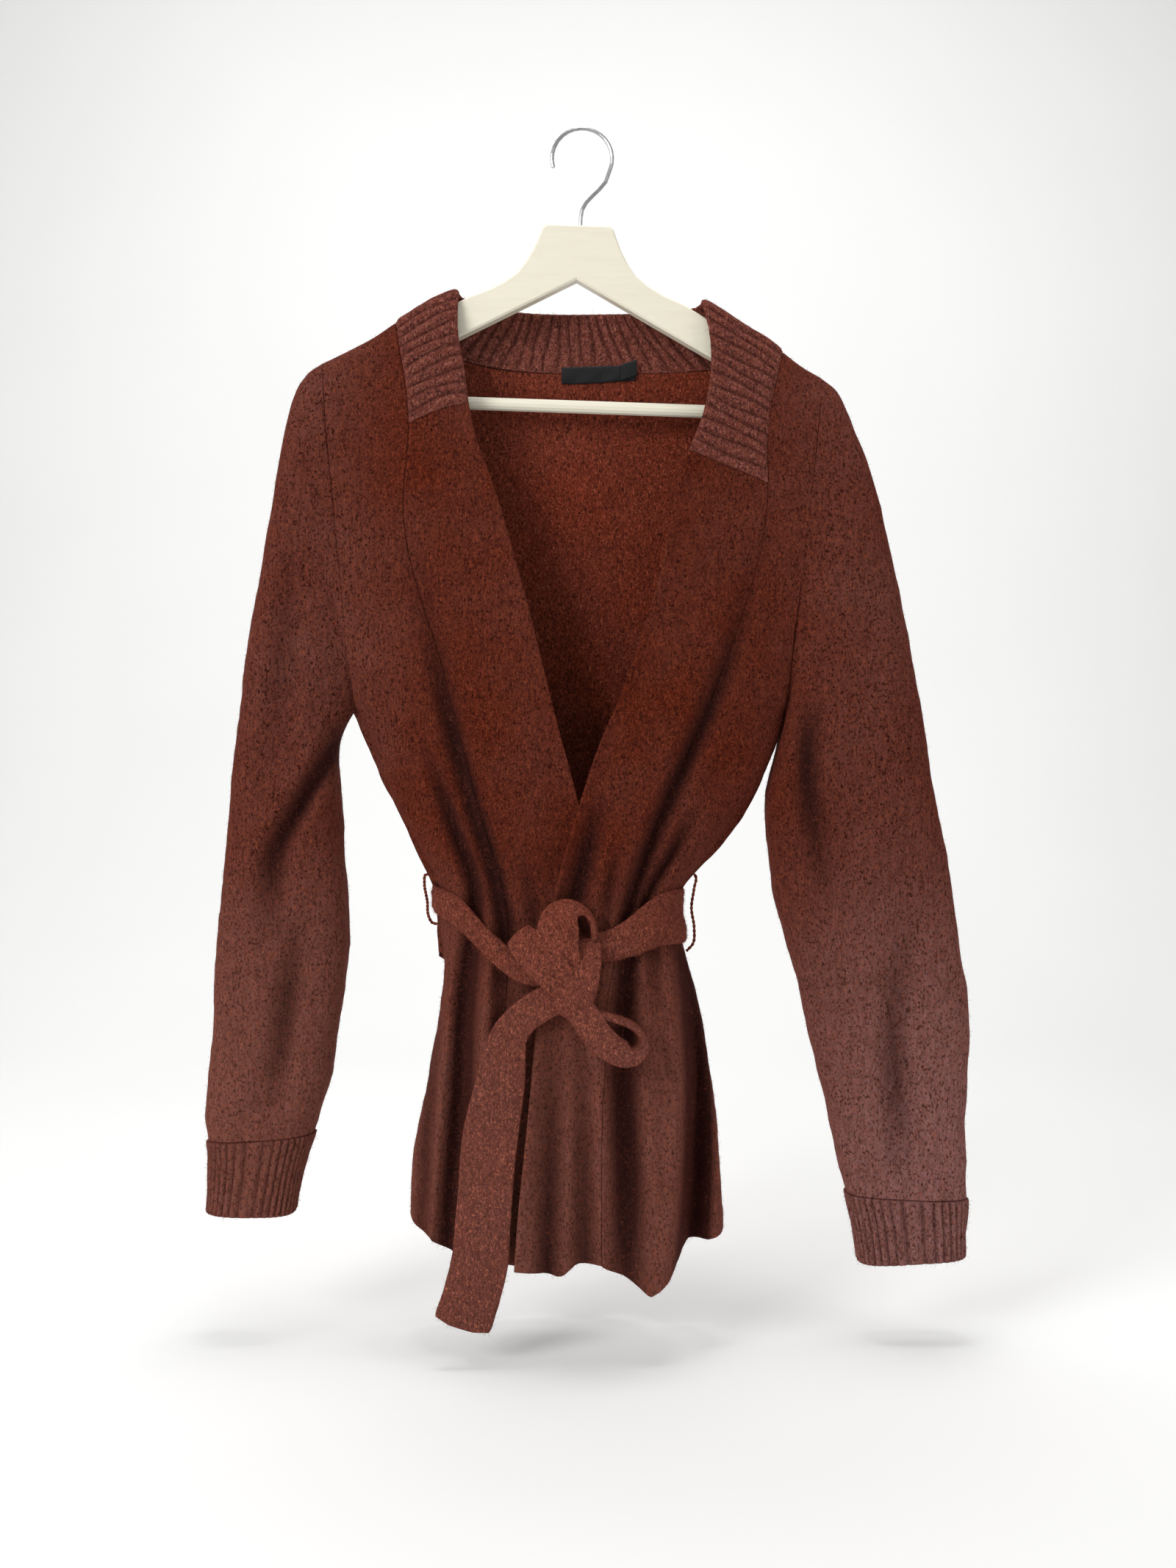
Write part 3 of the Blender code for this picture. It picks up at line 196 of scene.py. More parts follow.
# Folds: each is a trough with its line, depth and half width at a few heights
FOLD_COLUMNS = ("z", "x", "depth", "half_width")
FRONT_FOLDS = {
    "beside the right band": (
        (-324, -146, 0, 10), (-420, -122, 4, 9), (-472, -111, 8, 9), (-562, -87, 12, 8),
        (-620, -69, 13, 7), (-656, -62, 12, 8), (-700, -62, 6, 9), (-760, -62, 0, 10),
    ),
    "right waist": (
        (-500, -127, 0, 8), (-540, -115, 6, 8), (-574, -104, 10, 7.5), (-627, -86, 12, 7),
        (-660, -87, 12, 8), (-700, -92, 14, 9), (-800, -97, 15, 10), (-930, -106, 13, 12),
    ),
    "right side of skirt": (
        (-690, -112, 0, 8), (-760, -121, 5, 8), (-930, -131, 6, 8),
    ),
    "right gather": (
        (-590, -50, 0, 7), (-622, -44, 5, 6), (-650, -40, 6, 6), (-700, -40, 4, 8),
        (-790, -44, 0, 9),
    ),
    "beside the over edge": (
        (-548, 17, 0, 8), (-577, 9, 7, 8), (-610, 1, 10, 9), (-640, -6, 10, 9), (-690, 2, 0, 10),
    ),
    "beside the left band": (
        (-324, 151, 0, 9), (-400, 131, 4, 9), (-459, 112, 8, 9), (-547, 74, 12, 8),
        (-600, 52, 12, 7), (-640, 39, 12, 7), (-690, 36, 12, 9), (-760, 33, 14, 10),
        (-850, 36, 14, 11), (-930, 36, 8, 13),
    ),
    "left waist": (
        (-560, 92, 0, 8), (-595, 74, 9, 7), (-634, 52, 10, 6.5), (-690, 58, 5, 8),
        (-760, 62, 0, 9),
    ),
    "left gather": (
        (-585, 30, 0, 7), (-615, 24, 5, 6), (-645, 20, 5, 6), (-690, 16, 0, 8),
    ),
    "left side of skirt": (
        (-650, 72, 0, 8), (-690, 84, 12, 8), (-760, 93, 24, 9), (-870, 93, 30, 10),
        (-930, 88, 30, 11),
    ),
    "front of skirt": (
        (-715, -22, 0, 10), (-800, -24, 6, 10), (-930, -27, 9, 10),
    ),
    "middle of skirt": (
        (-715, 1, 0, 9), (-800, 1, 5, 9), (-930, 2, 8, 10),
    ),
}
BACK_FOLDS = {
    "back left": (
        (-470, 96, 0, 16), (-560, 78, 6, 13), (-640, 50, 9, 10), (-760, 58, 11, 13),
        (-930, 66, 13, 16),
    ),
    "back middle": (
        (-520, -8, 0, 14), (-590, -2, 6, 12), (-640, 4, 8, 10), (-740, 2, 9, 12),
        (-930, 0, 11, 16),
    ),
    "back right": (
        (-440, -112, 0, 16), (-560, -88, 7, 13), (-640, -64, 9, 10), (-760, -74, 10, 13),
        (-930, -84, 12, 15),
    ),
    "back short left": (
        (-570, 44, 0, 10), (-612, 30, 6, 9), (-640, 26, 8, 9), (-720, 30, 4, 10),
        (-790, 32, 0, 10),
    ),
    "back short right": (
        (-585, -52, 0, 10), (-620, -40, 6, 9), (-640, -36, 8, 9), (-700, -38, 7, 10),
        (-830, -42, 0, 12),
    ),
}

RIGHT_SLEEVE = (
    (-214.0, -194.0, -187.0, -480.0, 22.0),
    (-230.0, -207.0, -189.0, -483.5, 23.0),
    (-240.0, -229.0, -191.5, -487.5, 25.0),
    (-249.0, -270.0, -194.0, -492.0, 27.0),
    (-257.0, -315.0, -196.5, -497.0, 29.0),
    (-265.0, -360.0, -199.0, -503.0, 30.0),
    (-272.0, -405.0, -201.0, -512.0, 31.0),
    (-278.5, -448.0, -202.0, -524.0, 32.0),
    (-284.0, -490.0, -201.0, -541.0, 32.0),
    (-289.5, -535.0, -199.0, -565.0, 31.0),
    (-294.5, -590.0, -197.0, -600.0, 30.0),
    (-299.5, -642.0, -195.0, -645.0, 29.0),
    (-302.5, -690.0, -195.0, -690.0, 28.0),
    (-304.0, -740.0, -201.0, -737.0, 27.0),
    (-307.0, -786.0, -208.5, -783.0, 27.0),
    (-309.5, -815.0, -218.0, -812.0, 26.0),
    (-308.5, -836.0, -224.0, -831.0, 24.0),
)
RIGHT_CUFF = (
    (-308.5, -836.0, -224.0, -831.0, 24.0),
    (-308.0, -864.0, -232.0, -860.0, 22.0),
    (-309.8, -895.0, -240.0, -896.0, 23.0),
)
LEFT_SLEEVE = (
    (198.0, -206.5, 168.0, -480.0, 22.0),
    (211.0, -218.0, 167.8, -485.0, 23.0),
    (220.5, -238.0, 167.0, -490.0, 25.0),
    (231.5, -267.0, 165.8, -496.0, 27.0),
    (244.0, -306.0, 164.0, -503.0, 29.0),
    (253.5, -347.0, 162.0, -511.0, 30.0),
    (262.5, -390.0, 160.0, -520.0, 31.0),
    (272.0, -434.0, 157.5, -531.0, 32.0),
    (279.5, -482.0, 155.0, -543.0, 32.0),
    (288.0, -530.0, 153.0, -557.0, 31.0),
    (299.0, -588.0, 153.5, -592.0, 30.0),
    (306.0, -634.0, 159.0, -634.0, 29.0),
    (312.0, -680.0, 169.0, -677.0, 28.0),
    (319.5, -730.0, 183.0, -728.0, 27.0),
    (319.0, -780.0, 195.0, -780.0, 26.0),
    (317.8, -832.0, 206.0, -830.0, 25.0),
    (317.0, -884.0, 219.5, -880.0, 23.0),
)
LEFT_CUFF = (
    (317.0, -884.0, 219.5, -880.0, 23.0),
    (316.5, -908.0, 226.0, -906.0, 21.5),
    (316.0, -932.0, 230.5, -937.0, 22.0),
)
SLEEVE_FOLDS = {
    "under the right arm": (
        (-484, -190, 0, 9), (-510, -201, 10, 8), (-555, -226, 13, 8), (-594, -247, 11, 9),
        (-640, -253, 4, 12), (-680, -254, 0, 12),
    ),
    "right upper arm": (
        (-330, -236, 0, 10), (-400, -240, 3, 10), (-480, -246, 3, 11), (-560, -262, 0, 12),
    ),
    "right elbow": (
        (-640, -230, 0, 10), (-690, -236, 5, 10), (-760, -246, 6, 10), (-820, -256, 0, 10),
    ),
    "under the left arm": (
        (-470, 190, 0, 10), (-500, 184, 7, 9), (-540, 184, 9, 9), (-600, 192, 5, 11),
        (-650, 202, 0, 12),
    ),
    "left forearm": (
        (-640, 262, 0, 12), (-720, 254, 5, 11), (-800, 256, 6, 11), (-870, 262, 0, 12),
    ),
}
CROSS_FOLDS = {
    "left elbow upper": (
        (178, -716, 0, 5), (192, -722, 4, 4), (215, -727, 3.5, 4), (245, -722, 0, 5),
    ),
    "left elbow lower": (
        (192, -776, 0, 5), (206, -781, 4, 4), (232, -783, 3, 4), (258, -776, 0, 5),
    ),
    "left wrist": (
        (228, -846, 0, 5), (250, -852, 2.5, 5), (280, -850, 2, 5), (306, -842, 0, 5),
    ),
    "right elbow upper": (
        (-290, -668, 0, 6), (-262, -674, 3, 5), (-232, -670, 2, 5), (-206, -664, 0, 6),
    ),
    "right wrist": (
        (-304, -800, 0, 5), (-280, -806, 2.5, 5), (-250, -802, 2.5, 5), (-226, -794, 0, 5),
    ),
}

# Belt stretches on the body: angle round the ring from the front, height and width
STRETCH_COLUMNS = ("angle", "z", "width")
BELT_RIGHT_STRETCH = (
    (-89.0, -636.0, 24), (-80.0, -637.0, 24), (-70.0, -638.5, 24), (-60.0, -641.0, 25),
    (-50.0, -646.0, 26), (-41.0, -655.0, 27), (-32.0, -668.0, 27), (-24.0, -679.0, 26),
    (-16.5, -688.0, 24),
)
BELT_LEFT_STRETCH = (
    (89.0, -650.0, 46), (80.0, -650.0, 46), (70.0, -650.0, 46), (58.0, -650.5, 44),
    (48.0, -653.0, 40), (40.0, -658.0, 35), (32.0, -664.0, 30), (25.0, -668.0, 26),
    (19.0, -671.0, 24),
)
BELT_BACK_STRETCH = (
    (91.0, -650.0, 46), (100.0, -650.0, 45), (110.0, -649.0, 44), (125.0, -647.0, 42),
    (140.0, -645.0, 41), (160.0, -643.0, 40), (180.0, -641.0, 39), (200.0, -640.0, 38),
    (220.0, -639.0, 36), (235.0, -638.0, 34), (250.0, -637.0, 30), (260.0, -636.0, 27),
    (269.0, -636.0, 24),
)


# Label inside the back neck: it is bare
LABEL_LEFT_X = -17.5
LABEL_RIGHT_X = 45.0
LABEL_TOP_Z = -191.0
LABEL_HEIGHT = 14.0
LABEL_THICK = 0.8
LABEL_GAP = 0.6
LABEL_SLANT = 0.5


def unit(vectors):
    length = np.linalg.norm(vectors, axis=-1, keepdims=True)
    return vectors / np.maximum(length, 1e-9)


def step_up(share):
    share = np.clip(share, 0.0, 1.0)
    return share * share * (3.0 - 2.0 * share)


def smooth_read(at, keys, values):
    """A cubic through the rows, with each row's slope taken from its two neighbours."""
    order = np.argsort(keys)
    keys = np.asarray(keys, float)[order]
    values = np.asarray(values, float)[order]
    slopes = np.gradient(values, keys)
    at = np.clip(np.asarray(at, float), keys[0], keys[-1])
    place = np.clip(np.searchsorted(keys, at) - 1, 0, len(keys) - 2)
    span = keys[place + 1] - keys[place]
    t = (at - keys[place]) / span
    start = (1 + 2 * t) * (1 - t) ** 2 * values[place] + t * (1 - t) ** 2 * span * slopes[place]
    end = t * t * (3 - 2 * t) * values[place + 1] - t * t * (1 - t) * span * slopes[place + 1]
    return start + end


def column(rows, names, name):
    return [row[names.index(name)] for row in rows]


def read_rows(at, rows, names, key, value):
    return smooth_read(at, column(rows, names, key), column(rows, names, value))


def by_height(rows, height):
    return read_rows(height, rows, SEAM_COLUMNS, "z", "x")


def share_up(height):
    return np.clip((height - ARMPIT_Z) / UPPER_RISE, 0.0, 1.0)


def sides(height):
    """Middle and half width of the body's ring."""
    share = share_up(height)
    left, right = (read_rows(height, BODY_ROWS, BODY_COLUMNS, "z", side) for side in ("left", "right"))
    left = left + (TIP_LEFT_X - left) * share
    right = right + (TIP_RIGHT_X - right) * share
    return (left + right) / 2, (right - left) / 2


def depth_of(side, height):
    below = read_rows(height, BODY_ROWS, BODY_COLUMNS, "z", side)
    share = share_up(height)
    above = read_rows(share, UPPER_ROWS, UPPER_COLUMNS, "share", side)
    return np.where(share > 0, above, below)


def angle_at(x, height):
    """The angle round the section, from the middle to a side, at which it reaches x."""
    middle, half = sides(height)
    reach = np.clip((x - middle) / half, -1.0, 1.0)
    return np.arcsin(np.sign(reach) * np.abs(reach) ** (SECTION_POWER / 2))


def signed_power(value, power):
    return np.sign(value) * np.abs(value) ** power


def top_line(x):
    return read_rows(x, TOP_ROWS, TOP_COLUMNS, "x", "z")


def neck_middle_half():
    left = RIGHT_SEAM[0][1]
    right = LEFT_SEAM[0][1]
    return (left + right) / 2, (right - left) / 2


def neck_share(x):
    """0 at the ends of the back neck, 1 in its middle."""
    middle, half = neck_middle_half()
    return 1.0 - np.clip(np.abs(x - middle) / half, 0.0, 1.0) ** NECK_POWER


def back_top(x):
    """Depth and height of the back's top edge."""
    middle, half = neck_middle_half()
    share = neck_share(x)
    at_side = top_line(np.where(x < middle, middle - half, middle + half))
    inside = at_side + (NECK_SEAM_Z - at_side) * share
    within = np.abs(x - middle) < half
    return NECK_DEPTH * share ** (1 / NECK_POWER), np.where(within, inside, top_line(x))


def fold_depth(folds, x, z):
    """Troughs with a soft ridge on each side."""
    total = np.zeros(np.broadcast(x, z).shape)
    ridge = np.zeros(total.shape)
    for rows in folds.values():
        rows = sorted(rows)
        line = read_rows(z, rows, FOLD_COLUMNS, "z", "x")
        depth = np.maximum(read_rows(z, rows, FOLD_COLUMNS, "z", "depth"), 0.0)
        heights = column(rows, FOLD_COLUMNS, "z")
        half = np.interp(z, heights, column(rows, FOLD_COLUMNS, "half_width"))
        away = np.abs(x - line) / half
        total = np.maximum(total, depth * np.exp(-(away**2)))
        ridge = np.maximum(ridge, 0.16 * depth * np.exp(-(((away - 2.0) / 0.8) ** 2)))
    return total - ridge * (total < 4.0) * (1 - total / 4.0)


def section(side, angle, height):
    """x, depth, the ridge profile towards the shoulder, and the top x of the same column."""
    share = share_up(height)
    middle, half = sides(height)
    across = signed_power(np.sin(angle), 2 / SECTION_POWER)
    x = middle + half * across
    top_middle, top_half = sides(ARMPIT_Z + UPPER_RISE)
    x_top = top_middle + top_half * across
    low = np.clip(1 - 2 * share, 0.0, 1.0)
    high = np.clip(2 * share - 1, 0.0, 1.0)
    opened = (1 - low**RIDGE_POWER) ** (1 / RIDGE_POWER)
    ridge = (1 - high**RIDGE_POWER) ** (1 / RIDGE_POWER)
    blunt = 1 / SECTION_POWER + (1 - 1 / SECTION_POWER) * step_up(share / 0.4)
    crown = np.abs(np.cos(angle)) ** (2 * blunt)
    edge = ARMHOLE_DEPTH * opened
    depth = edge + (depth_of(side, height) - edge) * crown
    return x, depth, ridge, x_top, crown


def hem_shift(hem, x, height):
    xs, zs = zip(*hem)
    near = step_up((HEM_Z + HEM_RUN - height) / HEM_RUN)
    return (np.interp(x, xs, zs) - HEM_Z) * near


def front_point(angle, height, under=False):
    x, depth, ridge, x_top, crown = section("front", angle, height)
    share = share_up(height)
    z = np.where(share > 0, ARMPIT_Z + (top_line(x_top) - ARMPIT_Z) * share, height)
    z = z + hem_shift(FRONT_HEM, x, height)
    sink = fold_depth(FRONT_FOLDS, x, z) * np.minimum(crown * 1.6, 1.0) * ridge
    if under:
        seam = by_height(RIGHT_SEAM, height)
        below = step_up((LAYER_TOP_Z - height) / (LAYER_TOP_Z - LAYER_FULL_Z))
        cover = step_up((x - seam + LAYER_RUN) / LAYER_RUN) * below
        covered = COVERED_SINK * step_up((LAYER_FULL_Z - height) / (LAYER_FULL_Z - COVERED_Z))
        sink = sink * (1 - cover) + (LAYER_STEP + covered) * cover
    y = -np.maximum(depth * ridge - sink, HALF_SEAM)
    return np.stack([x, y, z], axis=-1)


def back_point(angle, height):
    x, depth, ridge, x_top, crown = section("back", angle, height)
    share = share_up(height)
    y_top, z_top = back_top(x_top)
    z = np.where(share > 0, ARMPIT_Z + (z_top - ARMPIT_Z) * share, height)
    z = z + hem_shift(BACK_HEM, x, height)
    sink = fold_depth(BACK_FOLDS, x, z) * np.minimum(crown * 1.6, 1.0) * ridge
    y = np.maximum((depth - sink) * ridge + y_top * (1 - ridge), HALF_SEAM)
    return np.stack([x, y, z], axis=-1)


def ring_point(angle, z):
    """The body's plain ring without its folds; the angle starts at the front, positive to +X."""
    middle, half = sides(z)
    front = np.cos(angle) > 0
    depth = np.where(front, depth_of("front", z), depth_of("back", z))
    x = middle + half * signed_power(np.sin(angle), 2 / SECTION_POWER)
    y = -depth * signed_power(np.cos(angle), 2 / SECTION_POWER)
    return np.stack([x, y, z + 0 * x], axis=-1)


def normals_of(place, first, second, outward):
    """Unit normals of a surface function by small differences, turned to the given side."""
    along = place(first + SMALL_TURN, second) - place(first - SMALL_TURN, second)
    upward = place(first, second + SMALL_RISE) - place(first, second - SMALL_RISE)
    normal = unit(np.cross(along, upward))
    flip = np.sum(normal * outward, axis=-1, keepdims=True) < 0
    return np.where(flip, -normal, normal)


def row_heights():
    """Heights of the rows of every panel, close together at the belt and over the shoulder."""
    upper = [ARMPIT_Z + UPPER_RISE * share for share in UPPER_GRID]
    return np.array(list(LOWER_GRID) + upper, float)


def seam_frame(seam, under, height):
    """Place and normal on a front's seam with its band, both shared by the pieces that meet there."""
    angle = angle_at(by_height(seam, height), height)

    def place(first, second):
        return front_point(first, second, under)

    spot = place(angle, height)
    below_top = np.minimum(height, ARMPIT_Z + UPPER_RISE - SMALL_RISE)
    normal = normals_of(place, angle, below_top, FRONT_OUTWARD)
    top = height >= ARMPIT_Z + UPPER_RISE - 0.01
    flat = unit(normal * np.array([1.0, 0.0, 1.0]))
    normal = np.where(np.reshape(top, np.shape(height) + (1,)), flat, normal)
    across = unit(place(angle + SMALL_TURN, height) - spot)
    return spot, normal, across


def collar_place(t, q):
    """The collar's surface: t runs up the right front, round the back and down the left front."""
    t = np.asarray(t, float)
    q = np.asarray(q, float)
    top = ARMPIT_Z + UPPER_RISE
    right_share = RIB_END_RIGHT_FRONT + (1 - RIB_END_RIGHT_FRONT) * np.clip(t, 0, 1)
    left_share = RIB_END_LEFT_FRONT + (1 - RIB_END_LEFT_FRONT) * np.clip(3 - t, 0, 1)
    fronts = []
    for share, seam, edge, under in (
        (right_share, RIGHT_SEAM, RIGHT_EDGE, True),
        (left_share, LEFT_SEAM, LEFT_EDGE, False),
    ):
        height = ARMPIT_Z + UPPER_RISE * share
        x_start = by_height(seam, height)
        x_end = by_height(edge, height)
        fronts.append(front_point(angle_at(x_start + (x_end - x_start) * q, height), height, under))
    turn = np.clip(t - 1, 0, 1) * math.pi
    left = RIGHT_SEAM[0][1] + (RIGHT_EDGE[0][1] - RIGHT_SEAM[0][1]) * q
    right = LEFT_SEAM[0][1] + (LEFT_EDGE[0][1] - LEFT_SEAM[0][1]) * q
    middle = (left + right) / 2
    half = (right - left) / 2
    x = middle - half * signed_power(np.cos(turn), 2 / NECK_POWER)
    rise = np.sin(turn) ** 2
    bow = COLLAR_BULGE * 4 * q * (1 - q)
    y = (NECK_DEPTH + COLLAR_LEAN * q + bow) * np.abs(np.sin(turn)) ** (2 / NECK_POWER)
    at_side = top_line(np.where(turn < math.pi / 2, left, right))
    z = at_side + (NECK_SEAM_Z + (COLLAR_TOP_Z - NECK_SEAM_Z) * q - at_side) * rise
    back = np.stack([x, y + 0 * x, z], axis=-1)
    pick = np.reshape(t, np.shape(t) + (1,))
    return np.where(pick < 1, fronts[0], np.where(pick > 2, fronts[1], back))


def collar_normals(t, q):
    low = np.clip(q - SMALL_SHARE, 0, 1)
    high = np.clip(q + SMALL_SHARE, 0, 1)
    along = collar_place(t + SMALL_TURN, q) - collar_place(t - SMALL_TURN, q)
    across = collar_place(t, high) - collar_place(t, low)
    return unit(np.cross(across, along))


BACK_TOP_X = (
    -214, -210, -202, -187, -170, -154, -150, -141, -124, -100, -68, -32, 6, 44, 80, 112, 136,
    153, 162, 166, 176, 187, 194, 198,
)


def neck_turn(x):
    """The collar's t at an x on the back's neck seam."""
    middle, half = neck_middle_half()
    reach = np.clip((x - middle) / half, -1, 1)
    return 1 + np.arccos(-signed_power(reach, NECK_POWER / 2)) / math.pi


def on_neck(x):
    return RIGHT_SEAM[0][1] - 0.01 <= x <= LEFT_SEAM[0][1] + 0.01


def neck_seam_nodes():
    """Corners of the neck seam: t, place and normal, outer points towards the outside."""
    xs = np.array([x for x in BACK_TOP_X if on_neck(x)], float)
    turns = neck_turn(xs)
    turns = np.clip(turns, 1.0, 2.0)
    zero = np.zeros(len(xs))
    return turns, collar_place(turns, zero), collar_normals(turns, zero)


def collar_seam():
    """The collar's sewn edge, point for point beside the edges of the fronts and the back."""
    rows = []
    top = ARMPIT_Z + UPPER_RISE
    for seam, edge, under, low, sign in (
        (RIGHT_SEAM, RIGHT_EDGE, True, RIB_END_RIGHT_FRONT, 1),
        (LEFT_SEAM, LEFT_EDGE, False, RIB_END_LEFT_FRONT, -1),
    ):
        for height in row_heights():
            share = share_up(height)
            if share < low - 0.001 or share > 0.999:
                continue
            spot, normal, across = seam_frame(seam, under, height)
            spot = spot + across * sign * HALF_SEAM
            t = (share - low) / (1 - low)
            rows.append((t if sign > 0 else 3 - t, spot, spot - normal * WALL))
    turns, places, normals = neck_seam_nodes()
    up = unit(collar_place(turns, 0 * turns + 0.1) - places)
    for t, spot, normal, rise in zip(turns, places, normals, up):
        spot = spot + rise * HALF_SEAM
        rows.append((t, spot, spot - normal * WALL))
    rows.sort(key=lambda row: row[0])
    return tuple(np.array([row[place] for row in rows]) for place in range(3))


def wave_bank(seed, amplitude, shortest, longest, count):
    """Directions, phases and heights of a few slow waves through space."""
    rng = np.random.default_rng(seed)
    ways = unit(rng.normal(size=(count, 3)))
    lengths = rng.uniform(shortest, longest, count)
    phases = rng.uniform(0, 2 * math.pi, count)
    return ways * (2 * math.pi / lengths[:, None]), phases, amplitude / math.sqrt(count)


WAVES = (
    wave_bank(3, 1.1, 70.0, 150.0, 9),
    wave_bank(5, 0.42, 24.0, 48.0, 12),
    wave_bank(7, 0.2, 9.0, 16.0, 14),
)


def unevenness(points):
    total = np.zeros(points.shape[:-1])
    for ways, phases, height in WAVES:
        for way, phase in zip(ways, phases):
            total += height * np.sin(points @ way + phase)
    return total


def graded(count, length, near=(0.25, 0.7, 1.3, 2.2)):
    """Shares from 0 to 1, close together near both ends of the given length."""
    close = np.array(near) / length
    shares = np.concatenate([np.linspace(0, 1, count), close, 1 - close])
    return np.unique(np.round(np.clip(shares, 0, 1), 6))


def edge_share(distance, radius):
    """Share of the full thickness at a distance from a rounded edge."""
    reach = np.clip(distance / radius, 0.0, 1.0)
    return 0.12 + 0.88 * np.sqrt(1 - (1 - reach) ** 2)


def rounded(outer, inner, radii):
    """The two grids drawn together at their edges: radii for the first and last row and column."""
    middle = (outer + inner) / 2
    half = (outer - inner) / 2
    share = np.ones(outer.shape[:2])
    steps = np.linalg.norm(np.diff(middle, axis=0), axis=2)
    down = np.concatenate([np.zeros((1, outer.shape[1])), np.cumsum(steps, axis=0)])
    steps = np.linalg.norm(np.diff(middle, axis=1), axis=2)
    across = np.concatenate([np.zeros((outer.shape[0], 1)), np.cumsum(steps, axis=1)], axis=1)
    for distance, radius in (
        (down, radii[0]), (down[-1:] - down, radii[1]),
        (across, radii[2]), (across[:, -1:] - across, radii[3]),
    ):
        if radius > 0:
            share = np.minimum(share, edge_share(distance, radius))
    return middle + half * share[..., None], middle - half * share[..., None]


def grid_faces(rows, columns, offset=0, ring=False):
    across = np.arange(columns if ring else columns - 1)
    row, start = np.meshgrid(np.arange(rows - 1), across, indexing="ij")
    end = (start + 1) % columns
    a = row * columns + start + offset
    b = row * columns + end + offset
    return np.stack([a, b, b + columns, a + columns], axis=-1).reshape(-1, 4)


def strip_faces(first, second, ring=False):
    """Quads between two rows of point numbers."""
    if ring:
        first = np.append(first, first[0])
        second = np.append(second, second[0])
    return np.stack([first[:-1], first[1:], second[1:], second[:-1]], axis=-1)


def mesh_object(name, points, quads, material, hollow=None):
    mesh = bpy.data.meshes.new(name)
    mesh.vertices.add(len(points))
    mesh.vertices.foreach_set("co", (np.asarray(points, np.float32) * MM).ravel())
    mesh.loops.add(quads.size)
    mesh.loops.foreach_set("vertex_index", quads.ravel().astype(np.int32))
    mesh.polygons.add(len(quads))
    mesh.polygons.foreach_set("loop_start", np.arange(len(quads), dtype=np.int32) * quads.shape[1])
    mesh.update(calc_edges=True)
    mesh.validate()
    mesh.shade_smooth()
    if hollow is not None:
        # Painted shade in fold troughs and rib grooves, kept on the points for the wool's colour
        mesh.attributes.new("hollow", "FLOAT", "POINT").data.foreach_set("value", hollow.astype(np.float32))
    thing = bpy.data.objects.new(name, mesh)
    bpy.context.scene.collection.objects.link(thing)
    mesh.materials.append(material)
    return thing


def cloth(name, outer, inner, material, ring=False, hollow=None):
    """A closed cloth wall between two fine grids, its faces pointing out."""
    rows, columns = outer.shape[:2]
    count = rows * columns
    points = np.concatenate([outer.reshape(-1, 3), inner.reshape(-1, 3)])
    outside = grid_faces(rows, columns, 0, ring)
    inside = grid_faces(rows, columns, count, ring)[:, ::-1]
    numbers = np.arange(count).reshape(rows, columns)
    quads = [outside, inside]
    quads.append(strip_faces(numbers[0], numbers[0] + count, ring)[:, ::-1])
    quads.append(strip_faces(numbers[-1], numbers[-1] + count, ring))
    if not ring:
        quads.append(strip_faces(numbers[:, 0], numbers[:, 0] + count))
        quads.append(strip_faces(numbers[:, -1], numbers[:, -1] + count)[:, ::-1])
    quads = np.concatenate(quads)
    corners = points[quads]
    volume = np.einsum("ij,ij->i", corners[:, 0], np.cross(corners[:, 1], corners[:, 2])).sum()
    volume += np.einsum("ij,ij->i", corners[:, 0], np.cross(corners[:, 2], corners[:, 3])).sum()
    if volume < 0:
        quads = quads[:, ::-1]
    if hollow is not None:
        # The inner side of the cloth gets 0.3 of the painted shade
        hollow = np.stack([hollow, hollow * 0.3]) if hollow.ndim == 2 else hollow
        hollow = hollow.ravel()
    return mesh_object(name, points, quads, material, hollow)


def fold_shade_at(folds, points):
    """Painted shade for each point: how deep in a trough it lies, from 0 to 1."""
    return np.clip(fold_depth(folds, points[..., 0], points[..., 2]) / FULL_SHADE_DEPTH, 0.0, 1.0)


def fine_heights(low, high, step):
    count = int(round((high - low) / step)) + 1
    return low + (high - low) * graded(count, high - low)


def fine_front(seam, under, toward, count, heights, length):
    """Middle surface and normals of a front or a band, from its seam outwards."""
    shares = graded(count, length)
    tall = np.repeat(heights[:, None], len(shares), axis=1)

    def place(first, second):
        return front_point(first, second, under)

    start = angle_at(by_height(seam, heights), heights)
    if isinstance(toward, float):
        angles = start[:, None] + (toward - start)[:, None] * shares
        sign = math.copysign(1.0, toward)
    else:
        from_x, to_x = by_height(seam, heights), by_height(toward, heights)
        angles = angle_at(from_x[:, None] + (to_x - from_x)[:, None] * shares, tall)
        sign = math.copysign(1.0, to_x[0] - from_x[0])
    spots = place(angles, tall)
    safe = np.clip(tall, HEM_Z + 1.0, ARMPIT_Z + UPPER_RISE - SMALL_RISE)
    inside = np.clip(angles, -math.pi / 2 + 0.005, math.pi / 2 - 0.005)
    normals = normals_of(place, inside, safe, FRONT_OUTWARD)
    top = heights > ARMPIT_Z + UPPER_RISE - 0.01
    normals[top] = unit(normals[top] * np.array([1.0, 0.0, 1.0]))
    if isinstance(toward, float):
        below = heights <= ARMPIT_Z
        normals[below, -1] = (math.copysign(1.0, toward), 0.0, 0.0)
        normals[~below, -1] = unit(normals[~below, -1] * np.array([0.0, 1.0, 1.0]))
    seam_spot, seam_normal, across = seam_frame(seam, under, heights)
    spots[:, 0] = seam_spot + across * sign * HALF_SEAM
    normals[:, 0] = seam_normal
    return spots, normals


def shifted(spots, normals, fade):
    """Outer and inner grids with the knit's slow unevenness added."""
    outer = spots + (unevenness(spots) * fade)[..., None] * normals
    return outer, outer - normals * WALL


def top_fade(heights, columns):
    """No unevenness at the very top, where the panels meet in one line."""
    share = step_up((ARMPIT_Z + UPPER_RISE - heights) / 14.0)
    return np.repeat(share[:, None], columns, axis=1)


